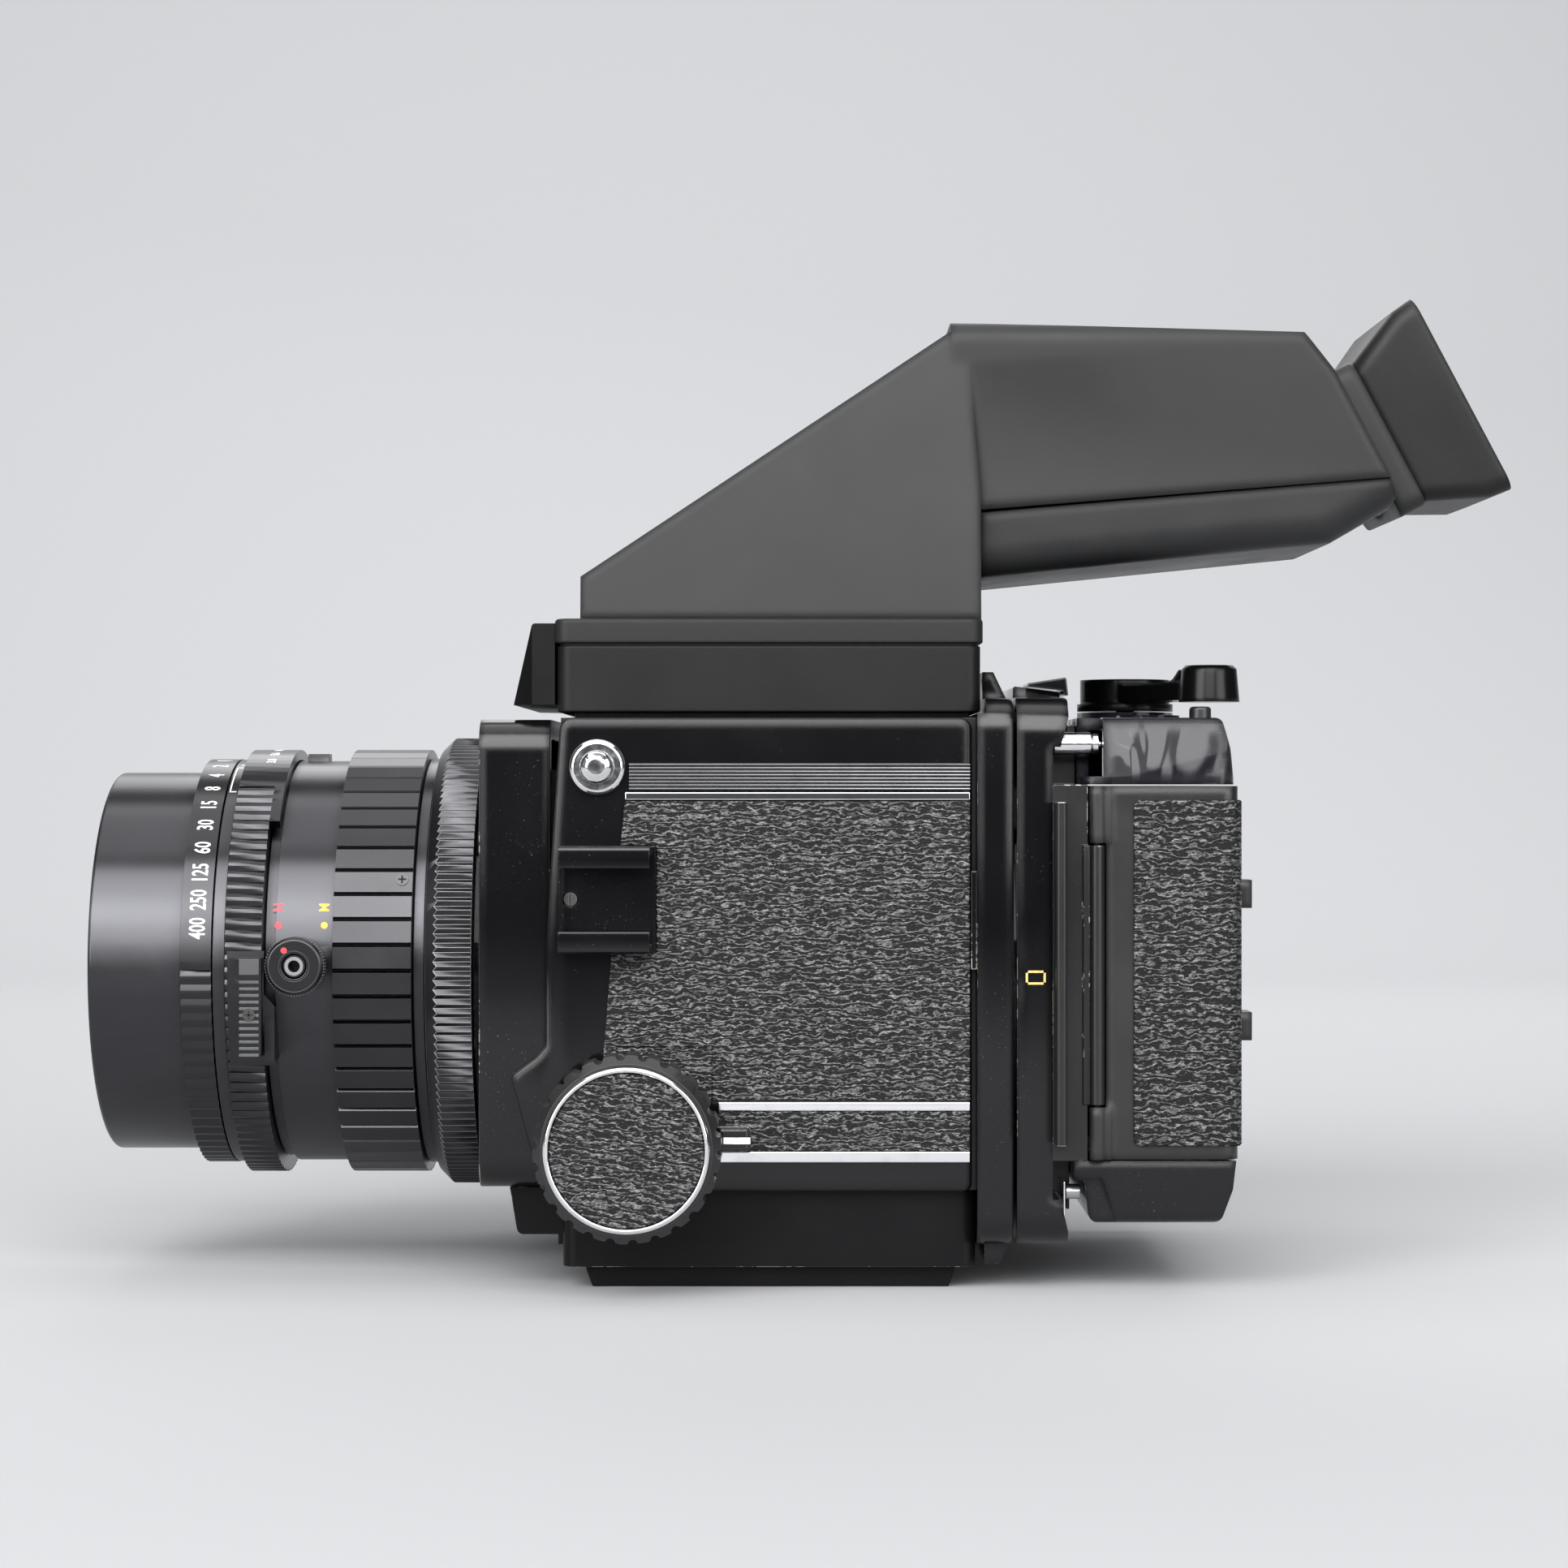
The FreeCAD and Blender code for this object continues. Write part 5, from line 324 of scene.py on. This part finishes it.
# Mesh helpers
def span(node):
    """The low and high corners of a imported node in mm, to 0.1 mm, as round meshes fall a little short."""
    spots = [v.co / MM for v in frame["nodes"][node].data.vertices]
    return [[round(pick(s[i] for s in spots), 1) for i in range(3)] for pick in (min, max)]


def middle(node):
    """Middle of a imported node, in mm."""
    return [(low + high) / 2 for low, high in zip(*span(node))]


def on_lens(station, radius, angle):
    """A point round the lens: station and radius in mm, angle up from its left side in radians."""
    return Vector((station, -radius * math.cos(angle), LENS_AXIS + radius * math.sin(angle))) * MM


def mesh_of(bm, name, closed=True):
    """The mesh of finished bmesh data; a closed one has its faces turned outwards."""
    if closed:
        bmesh.ops.recalc_face_normals(bm, faces=bm.faces)
    mesh = bpy.data.meshes.new(name)
    bm.to_mesh(mesh)
    bm.free()
    return mesh


def bridge(bm, here, there):
    """Faces between two closed rows of corners."""
    for j in range(len(here)):
        k = (j + 1) % len(here)
        bm.faces.new([here[j], here[k], there[k], there[j]])


def soften(mesh, angle=35.0):
    """Smooth shading, with the edges sharper than angle kept."""
    for polygon in mesh.polygons:
        polygon.use_smooth = True
    mesh.set_sharp_from_angle(angle=math.radians(angle))


def ease_edges(obj, width, segments=2, angle=25.0):
    """Rounds the edges sharper than angle."""
    ease = obj.modifiers.new("Ease", "BEVEL")
    ease.width = width
    ease.segments = segments
    ease.limit_method = "ANGLE"
    ease.angle_limit = math.radians(angle)
    ease.harden_normals = True
    return ease


def add_object(name, mesh, body, materials):
    """A piece that rides on a body."""
    obj = bpy.data.objects.new(name, mesh)
    bpy.context.scene.collection.objects.link(obj)
    for m in materials:
        mesh.materials.append(MATS[m])
    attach(obj, body)
    return obj


def dress(node, material, edge=None, bevel=0.0003, segments=2):
    """A node's own shape with its edges eased, in a second material where edge names one."""
    angle = 28.0
    mesh = frame["nodes"][node].data.copy()
    mesh.materials.clear()
    bm = bmesh.new()
    bm.from_mesh(mesh)
    bmesh.ops.remove_doubles(bm, verts=bm.verts, dist=0.000002)
    bmesh.ops.dissolve_limit(bm, angle_limit=math.radians(0.6), verts=bm.verts, edges=bm.edges)
    for face in bm.faces:
        face.material_index = 0
    bm.to_mesh(mesh)
    bm.free()
    obj = add_object(node + ".shape", mesh, bodies[node], [material, edge or material])
    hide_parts(node)
    soften(mesh, angle)
    ease = ease_edges(obj, bevel, segments, angle)
    if edge:
        ease.material = 1


def keep(node, material):
    """A node that stays as it is, with a better material."""
    materials = frame["nodes"][node].data.materials
    materials.clear()
    materials.append(MATS[material])


def lathe(name, outline, centre, axis, steps):
    """A mesh turned about X or Y through centre; outline is closed, (station, radius) in mm."""
    bm = bmesh.new()
    rings = []
    for i in range(steps):
        angle = 2 * math.pi * i / steps
        ring = []
        for station, radius in outline:
            a, b = radius * math.cos(angle), radius * math.sin(angle)
            spot = {"X": (station, a, b), "Y": (a, station, b)}[axis]
            ring.append(bm.verts.new([(s + c) * MM for s, c in zip(spot, centre)]))
        rings.append(ring)
    for here, there in zip(rings, rings[1:] + rings[:1]):
        bridge(bm, here, there)
    bmesh.ops.remove_doubles(bm, verts=bm.verts, dist=0.0000005)
    mesh = mesh_of(bm, name)
    soften(mesh)
    return mesh


def disc(name, centre, radius, thick, body, material, steps):
    """A flat round piece that faces the left side; centre is its middle, in mm."""
    half = thick / 2
    outline = [(-half, 0.0), (-half, radius), (half, radius), (half, 0.0)]
    return add_object(name, lathe(name, outline, centre, "Y", steps), body, [material])


def ring_piece(name, centre, inner, outer, low, high, axis, body, material):
    """A washer between two radii, from low to high of centre along its axis, in mm."""
    outline = [(low, inner), (low, outer), (high, outer), (high, inner)]
    obj = add_object(name, lathe(name, outline, centre, axis, 96), body, [material])
    ease_edges(obj, 0.0001)


def slab(name, low, high, body, material, bevel=0.0):
    """A box from one corner to the other, in mm."""
    bm = bmesh.new()
    bmesh.ops.create_cube(bm, size=1.0)
    for v in bm.verts:
        v.co = [(low[i] + (v.co[i] + 0.5) * (high[i] - low[i])) * MM for i in range(3)]
    obj = add_object(name, mesh_of(bm, name), body, [material])
    soften(obj.data)
    if bevel:
        ease_edges(obj, bevel)
    return obj


def words(text, size):
    """Text as a flat mesh in mm, centred, x along the line and y up."""
    curve = bpy.data.curves.new("words", "FONT")
    curve.body = text
    curve.size = size
    curve.align_x = "CENTER"
    curve.align_y = "CENTER"
    curve.extrude = FILLING / 2
    curve.offset = 0.04
    curve.resolution_u = 3
    holder = bpy.data.objects.new("words", curve)
    bpy.context.scene.collection.objects.link(holder)
    mesh = bpy.data.meshes.new_from_object(holder.evaluated_get(bpy.context.evaluated_depsgraph_get()))
    bpy.data.objects.remove(holder)
    mesh.materials.clear()
    return mesh


def on_ring(name, text, size, station, radius, rise, body, material, narrow):
    """Text on a ring of the lens, in mm. rise is in degrees above the left side; it reads upwards."""
    mesh = words(text, size)
    for v in mesh.vertices:
        along, across, proud = v.co.x * narrow, -v.co.y, v.co.z
        angle = math.radians(rise) + along / radius
        v.co = on_lens(station + across, radius + FILLING / 2 + proud, angle)
    add_object(name, mesh, body, [material])


def ring_mark(name, station, wide, radius, rise, tall, body, material):
    """A painted bar on a ring: wide along the lens and tall round it, in mm."""
    front, rear = station - wide / 2, station + wide / 2
    sunk, proud = radius - FILLING / 2, radius + FILLING
    steps = max(2, int(tall / 0.6) + 1)
    bm = bmesh.new()
    rows = []
    for i in range(steps + 1):
        angle = math.radians(rise) + (i / steps - 0.5) * tall / radius
        corners = ((front, sunk), (front, proud), (rear, proud), (rear, sunk))
        rows.append([bm.verts.new(on_lens(x, r, angle)) for x, r in corners])
    for here, there in zip(rows, rows[1:]):
        bridge(bm, here, there)
    bm.faces.new(rows[0])
    bm.faces.new(rows[-1])
    add_object(name, mesh_of(bm, name), body, [material])


def ring_dot(name, station, size, radius, rise, body, material):
    """A round painted dot on a ring; size is its radius in mm."""
    steps = 32
    bm = bmesh.new()
    spots = []
    for i in range(steps):
        turn = 2 * math.pi * i / steps
        angle = math.radians(rise) + size * math.sin(turn) / radius
        spots.append(bm.verts.new(on_lens(station + size * math.cos(turn), radius + FILLING, angle)))
    bm.faces.new(spots)
    add_object(name, mesh_of(bm, name, closed=False), body, [material])


# Pieces that take the shape of their node: node, material, material of the edges, their width and steps

# Body
for node in ("left_side_cover", "right_side_cover"):
    dress(node, "enamel_wide", "enamel_rim", 0.0011, 4)
dress("body_casting", "satin")
dress("body_leather", "leather")
dress("chrome_strips", "chrome", bevel=0.00025, segments=3)
dress("ribbed_trim_plates", "trim", bevel=0.0001)
dress("strap_lugs", "chrome_y", bevel=0.0003, segments=3)
# The shoe's lips and the rim of its screw take the lighter rib grey: painted highlight along the edges,
# partly rubbed paint.
dress("accessory_shoe", "enamel", "lens_rib", 0.0003, 3)
dress("shoe_screw", "plastic_edge", "lens_rib", 0.00012)
dress("base_housing", "base_paint", "enamel_edge", 0.0004, 3)
dress("tripod_plate", "base_paint", bevel=0.0004, segments=3)
keep("tripod_bush", "brass")
dress("release_button", "chrome_y")
dress("release_lock_ring", "chrome_y")
keep("focusing_screen", "screen")
keep("mirror_glass", "mirror")
dress("mirror_holder", "satin")
dress("cocking_lever", "enamel", "enamel_edge", 0.0005, 3)
dress("rear_flange", "enamel_wide", "enamel_rim", 0.0009, 4)
dress("back_release_tab", "enamel", "enamel_edge", 0.0002)
dress("front_plate", "enamel_wide", "enamel_rim", 0.001, 4)
dress("focus_racks", "steel", bevel=0.0001, segments=1)
dress("focus_shaft", "steel", bevel=0.0001, segments=1)
dress("focus_knobs", "plastic", "plastic_edge", 0.0004, 3)
dress("knob_rings", "chrome_y", bevel=0.0002, segments=3)
dress("knob_leathers", "leather_knob")
dress("focus_lock_lever", "enamel", "chrome_y", 0.0003, 3)

# Lens
dress("lens_core", "lens", bevel=0.0002)
dress("front_barrel", "lens", bevel=0.0003, segments=3)
keep("lens_glass", "glass")
# The knurled rings take the light edge grey on their bevels: painted highlight along the teeth, partly
# rubbed anodising.
dress("speed_ring", "lens_dark", "lens_edge", 0.0001, 1)
dress("aperture_ring", "lens_dark", "lens_edge", 0.0001, 1)
dress("mid_barrel", "lens", bevel=0.0002)
dress("mirror_up_collar", "lens_dark", bevel=0.0002)
dress("preview_slider", "lens_dark", bevel=0.0002)
dress("scale_ring", "lens_dark", "lens_edge", 0.00014, 2)
dress("lock_ring", "lens_dark", "lens_edge", 0.00012, 1)

# Back and film holder
dress("revolving_adapter", "enamel_wide", "enamel_rim", 0.0011, 4)
dress("adapter_lock_slide", "enamel", "enamel_edge", 0.0002, 3)
dress("interlock_pin", "chrome_y", bevel=0.0002)
dress("holder_case", "satin", "enamel_edge", 0.0002)
dress("dark_slide", "satin", "steel", 0.0002)
dress("rear_door", "door_paint", bevel=0.0009, segments=4)
dress("door_leather", "leather_door", bevel=0.0004, segments=3)
dress("door_latch", "base_paint", bevel=0.0007, segments=4)
dress("holder_top_cap", "cap_enamel", bevel=0.0006, segments=3)
dress("multi_exposure_button", "plastic")
dress("holder_bottom_cap", "enamel_wide", "enamel_rim", 0.0009, 4)
dress("advance_lever", "gloss_plastic", bevel=0.0008, segments=4)
dress("film_insert", "satin", bevel=0.0002)
dress("feed_spool", "film")
dress("take_up_spool", "plastic")

# Finder
dress("finder_base", "finder_dark", bevel=0.0004, segments=3)
dress("finder_housing", "finder", bevel=0.0018, segments=5)
dress("finder_bottom_cover", "finder", bevel=0.0014, segments=4)
keep("finder_glass", "glass")
dress("eyepiece_frame", "finder", bevel=0.0007, segments=3)
dress("eyecup", "rubber", bevel=0.0008, segments=3)
dress("front_nameplate", "name_paint", bevel=0.0008, segments=4)


def bellows():
    """A pleated square tube that stretches between the casting and the front standard, in mm."""
    (_, _, bottom), (rear, half, top) = span("bellows")
    front, fold, corner, wall = -55.0, 3.2, 2.0, 0.6
    folds, rings_per_fold, corner_steps = 12, 4, 3
    centre, tall = (top + bottom) / 2, (top - bottom) / 2
    ring_count = folds * rings_per_fold
    bm = bmesh.new()
    rings = []
    for i in range(ring_count + 1):
        inset = fold * (0.5 - 0.5 * math.cos(math.pi * i / rings_per_fold))
        x = front + (rear - front) * i / ring_count
        ring = []
        for n, (side_y, side_z) in enumerate(((-1, -1), (1, -1), (1, 1), (-1, 1))):
            y = side_y * (half - inset - corner)
            z = centre + side_z * (tall - inset - corner)
            for k in range(corner_steps + 1):
                angle = math.pi / 2 * (n + 2 + k / corner_steps)
                spot = Vector((x, y + corner * math.cos(angle), z + corner * math.sin(angle)))
                ring.append(bm.verts.new(spot * MM))
        rings.append(ring)
    for here, there in zip(rings, rings[1:]):
        bridge(bm, here, there)
    mesh = mesh_of(bm, "bellows_cloth")
    mesh.materials.append(MATS["cloth"])
    soften(mesh, 60)
    obj = bpy.data.objects.new("bellows_cloth", mesh)
    bpy.context.scene.collection.objects.link(obj)
    thick = obj.modifiers.new("Thick", "SOLIDIFY")
    thick.thickness = wall * MM
    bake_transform(obj)
    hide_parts("bellows")


bellows()


# Scales and marks of the lens, in mm and degrees
def ring_radius(node):
    """Outer radius of a packed ring of the lens, in mm."""
    return span(node)[1][1]


def left_face(node):
    """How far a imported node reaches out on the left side, in mm along Y."""
    return span(node)[0][1]


def scale(body, texts, size, narrow, station, first, step):
    """White figures round the ring of a body, with the first one's rise and each step in degrees."""
    radius = ring_radius(body + "_ring")
    for i, (label, text) in enumerate(texts):
        rise = first + step * i
        on_ring(f"{body}_number_{label}", text, size, station, radius, rise, body, "white", narrow)


def lens_marks():
    """The speed and aperture figures, the index between them and the two sync letters."""
    speeds = [(text, text) for text in ("400", "250", "125", "60", "30", "15", "8", "4", "2", "1")]
    apertures = enumerate(("3.8", "5.6", "8", "11", "16", "22", "32"))
    scale("speed", speeds, size=4.6, narrow=0.64, station=-116.1, first=11.3, step=7.9)
    scale("aperture", apertures, size=2.6, narrow=0.8, station=-105.0, first=71.0, step=7.0)
    body, index_radius = "front_standard", 42.8
    lines = ((-112.5, 65.0, 12.0), (-110.9, 77.5, 2.4))
    for i, (station, rise, tall) in enumerate(lines):
        ring_mark(f"index_line_{i}", station, 0.25, index_radius, rise, tall, body, "white")
    crosses = ((-111.9, 1.4, 57.2), (-111.9, 1.2, 73.2), (-111.4, 1.2, 75.9))
    for i, (station, wide, rise) in enumerate(crosses):
        ring_mark(f"index_cross_{i}", station, wide, index_radius, rise, 0.28, body, "white")
    radius = ring_radius("mid_barrel")
    for name, letter, station, color in (("near", "N", -99.9, "red"), ("far", "M", -90.6, "yellow")):
        on_ring("sync_letter_" + name, letter, 3.0, station, radius, 17.2, body, color, 0.8)
        ring_dot("sync_dot_" + name, station, 0.7, radius, 12.2, body, color)


def cross_screw(name, centre, radius, body, rise=0.0):
    """A small screw head with a cross slot on the left side; rise turns it up round the lens axis."""
    material, thick, sunk, proud = "plastic_edge", 0.3, 0.1, 0.19
    long, narrow = 0.65 * radius, 0.14 * radius
    x, y, z = centre
    parts = [disc(name, centre, radius, thick, body, material, 32)]
    # The cross slot is a black bar laid on the head: painted shade where a recessed slot would be.
    for k, (w, h) in enumerate(((long, narrow), (narrow, long))):
        low, high = (x - w, y - proud, z - h), (x + w, y + sunk, z + h)
        parts.append(slab(f"{name}_slot_{k}", low, high, body, "slot_shade"))
    if rise:
        pivot = Matrix.Translation((0.0, 0.0, LENS_Z))
        turn = pivot @ Matrix.Rotation(-math.radians(rise), 4, "X") @ pivot.inverted()
        for part in parts:
            part.data.transform(turn)


def preview_details():
    """The ribbed grip of the preview slider and its screw."""
    front, rear, low, pitch, rib = -106.9, -102.9, 46.9, 1.33, 0.6
    face = left_face("preview_slider")
    proud, sunk = face - 0.25, face + 0.1
    # The block and ribs are in the lighter rib grey: partly rubbed, partly painted highlight.
    bars = [("block", 63.3, 66.5)]
    for i in range(12):
        bars.append((f"rib_{i}", low + pitch * i, low + pitch * i + rib))
    for name, bottom, top in bars:
        slab("preview_" + name, (front, proud, bottom), (rear, sunk, top), "preview", "lens_rib", 0.0001)
    cross_screw("preview_screw", ((front + rear) / 2, proud, 55.3), 1.25, "preview")


def collar_details():
    """The inlaid rings, the dot and the knurled edge of the mirror collar."""
    teeth, pitch_radius, half, half_deep = 60, 5.84, 0.13, 1.7
    x, _, z = middle("mirror_up_collar")
    face = left_face("mirror_up_collar")
    centre = (x, 0.0, z)
    for name, inner, outer in (("silver", 3.0, 3.15), ("rim", 5.05, 5.2)):
        ring_piece("collar_" + name, centre, inner, outer, face - 0.08, face + 0.1, "Y", "mirror_up",
                   "plastic_edge")
    ring_piece("collar_bush", centre, 1.2, 1.9, face - 0.05, face + 0.8, "Y", "front_standard", "lens_edge")
    disc("collar_dot", (x - 2.0, face - 0.02, z + 3.2), 0.62, 0.1, "mirror_up", "red", 24)
    # The teeth are in the light edge grey: painted highlight on the knurl, partly rubbed anodising.
    corner = Vector((half, half_deep, half))
    for i in range(teeth):
        angle = 2 * math.pi * i / teeth
        spot = Vector((x + pitch_radius * math.cos(angle), face + 2.4, z + pitch_radius * math.sin(angle)))
        slab(f"collar_tooth_{i}", spot - corner, spot + corner, "mirror_up", "lens_edge")


lens_marks()
preview_details()
cross_screw("scale_screw", (-74.9, -ring_radius("scale_ring"), LENS_AXIS), 1.3, "distance_scale", 24.0)
collar_details()


# Marks and fittings of the body, in mm
def body_details():
    """The line on the lock lever, the format frame on the back and the spring of the holder."""
    (_, face, _), (tip, _, _) = span("focus_lock_lever")
    low, high = (tip - 5.4, face - 0.1, 30.1), (tip - 0.1, face + 0.1, 31.4)
    slab("lock_lever_line", low, high, "focus_lock", "white")
    face = left_face("revolving_adapter")
    front, rear, bottom, top, stroke = 50.6, 54.6, 61.6, 64.4, 0.45
    strokes = ((front, bottom, rear, bottom + stroke), (front, top - stroke, rear, top),
               (front, bottom, front + stroke, top), (rear - stroke, bottom, rear, top))
    for i, (x_low, z_low, x_high, z_high) in enumerate(strokes):
        low, high = (x_low, face - 0.03, z_low), (x_high, face + 0.05, z_high)
        slab(f"format_mark_{i}", low, high, "revolving_back", "gold")
    ring_piece("holder_spring", (60.6, -44.0, 19.5), 0.6, 1.5, -1.4, 1.4, "X", "revolving_back", "steel")
    slab("spring_strip", (58.4, -47.5, 12.9), (58.9, -42.0, 21.8), "revolving_back", "chrome", 0.0002)


def knob_leather_patch():
    """Leather carried on behind the knob, clear of the hub of the lock lever."""
    (front, _, _), (_, outer_face, _) = span("body_leather")
    knob_x, _, knob_z = middle("focus_shaft")
    cover_face, rear, bottom, top, clear = 50.0, -12.05, 38.4, 48.98, 13.4
    arc_start, arc_end, arc_steps = 37.8, 113.3, 12
    outline = [(front, top), (rear, top), (rear, bottom)]
    for i in range(arc_steps + 1):
        angle = math.radians(arc_start + (arc_end - arc_start) * i / arc_steps)
        outline.append((knob_x + clear * math.cos(angle), knob_z + clear * math.sin(angle)))
    for side, sign in (("left", -1.0), ("right", 1.0)):
        bm = bmesh.new()
        layers = []
        for depth in (cover_face + 0.02, outer_face):
            layers.append([bm.verts.new(Vector((x, sign * depth, z)) * MM) for x, z in outline])
        bridge(bm, *layers)
        for layer in layers:
            bm.faces.new(layer)
        name = "knob_patch_" + side
        add_object(name, mesh_of(bm, name), "camera_body", ["leather"])


body_details()
knob_leather_patch()


# Stage and light
def stage():
    """A pale sweep: floor, curve and wall in one sheet. The floor is painted a shade darker towards the
    camera and near black beyond it by the camera: painted shade, which the glossy flats mirror.
    """
    front, half_wide, bend, radius, top, curve_steps = -8.0, 8.0, 1.1, 0.9, 3.4, 24
    profile = [(front, 0.0), (bend, 0.0)]
    for i in range(1, curve_steps + 1):
        angle = math.pi / 2 * i / curve_steps
        profile.append((bend + radius * math.sin(angle), radius * (1 - math.cos(angle))))
    profile.append((bend + radius, top))
    bm = bmesh.new()
    rows = [[bm.verts.new((x, y, z)) for x in (-half_wide, half_wide)] for y, z in profile]
    for here, there in zip(rows, rows[1:]):
        bm.faces.new([*here, *reversed(there)])
    mesh = mesh_of(bm, "sweep", closed=False)
    for polygon in mesh.polygons:
        polygon.use_smooth = True
    paper, wall = (0.335, 0.339, 0.348), (0.274, 0.278, 0.286)
    # near and end are painted shade on the floor: a little darker towards the camera, and near black beyond
    # it.
    near, end = (0.29, 0.294, 0.302), (0.05, 0.051, 0.052)
    t = Tree("sweep_paper", paper, 0.85, specular_ior_level=0.2)
    depth = t.add("SeparateXYZ", {0: t.place()}).outputs["Y"]
    color = t.mix(t.remap(depth, 0.7, 1.8, smooth=True), paper, wall)
    # Painted shade towards and past the camera, for the glossy flats to mirror.
    color = t.mix(t.remap(depth, -0.3, 0.0, smooth=True), near, color)
    color = t.mix(t.remap(depth, -0.95, -0.5, smooth=True), end, color)
    t.link(color, "Base Color")
    mesh.materials.append(t.material)
    sweep = bpy.data.objects.new("sweep", mesh)
    bpy.context.scene.collection.objects.link(sweep)


def softbox(name, place, aim, wide, high, watts, spread=180.0):
    """A rectangular lamp, wide across and high, turned to aim."""
    light = bpy.data.lights.new(name, "AREA")
    light.shape = "RECTANGLE"
    light.size = wide
    light.size_y = high
    light.energy = watts
    light.spread = math.radians(spread)
    obj = bpy.data.objects.new(name, light)
    bpy.context.scene.collection.objects.link(obj)
    obj.location = place
    obj.rotation_euler = (Vector(aim) - Vector(place)).to_track_quat("-Z", "Y").to_euler()


stage()

# Each lamp: name, place, aim, width, height and watts
LOW_AIM = (0.0, 0.0, 0.1)
HIGH_AIM = (0.0, 0.0, 0.12)
softbox("key", (-0.2, -1.3, 1.2), LOW_AIM, 2.0, 1.1, 50.0)
softbox("overhead", (0.0, 0.0, 1.6), LOW_AIM, 2.2, 1.3, 18.0)
softbox("left_side", (-1.15, -1.3, 0.62), HIGH_AIM, 1.0, 1.1, 28.0)
softbox("right_side", (1.15, -1.3, 0.62), HIGH_AIM, 1.0, 1.1, 23.0)
softbox("front_fill", (0.0, -1.45, 0.52), HIGH_AIM, 0.9, 0.3, 6.0)
softbox("rear_fill", (0.25, 1.25, 1.15), LOW_AIM, 1.6, 0.7, 9.0)
softbox("backdrop", (-0.34, 0.85, 2.4), (-0.15, 1.9, 1.0), 3.4, 0.8, 48.0, spread=115.0)

world = bpy.data.worlds.new("studio")
world.use_nodes = True
sky = world.node_tree.nodes["Background"]
sky.inputs["Color"].default_value = (0.9, 0.93, 1.0, 1.0)
sky.inputs["Strength"].default_value = 0.1
bpy.context.scene.world = world
bpy.context.scene.view_settings.view_transform = "Standard"

# Camera: level and square on to the left side. Focal length and photo side are in pixels, the rest in mm.
FOCAL_LENGTH = 4400
PHOTO_SIDE = 1932
SENSOR = 36.0
EYE = (2.4, -764, 101.6)
photo_lens = bpy.data.cameras.new("photo_camera")
photo_lens.sensor_width = SENSOR
photo_lens.lens = SENSOR * FOCAL_LENGTH / PHOTO_SIDE
camera = bpy.data.objects.new("photo_camera", photo_lens)
bpy.context.scene.collection.objects.link(camera)
camera.location = [c * MM for c in EYE]
camera.rotation_euler = (math.radians(90), 0, 0)
bpy.context.scene.camera = camera
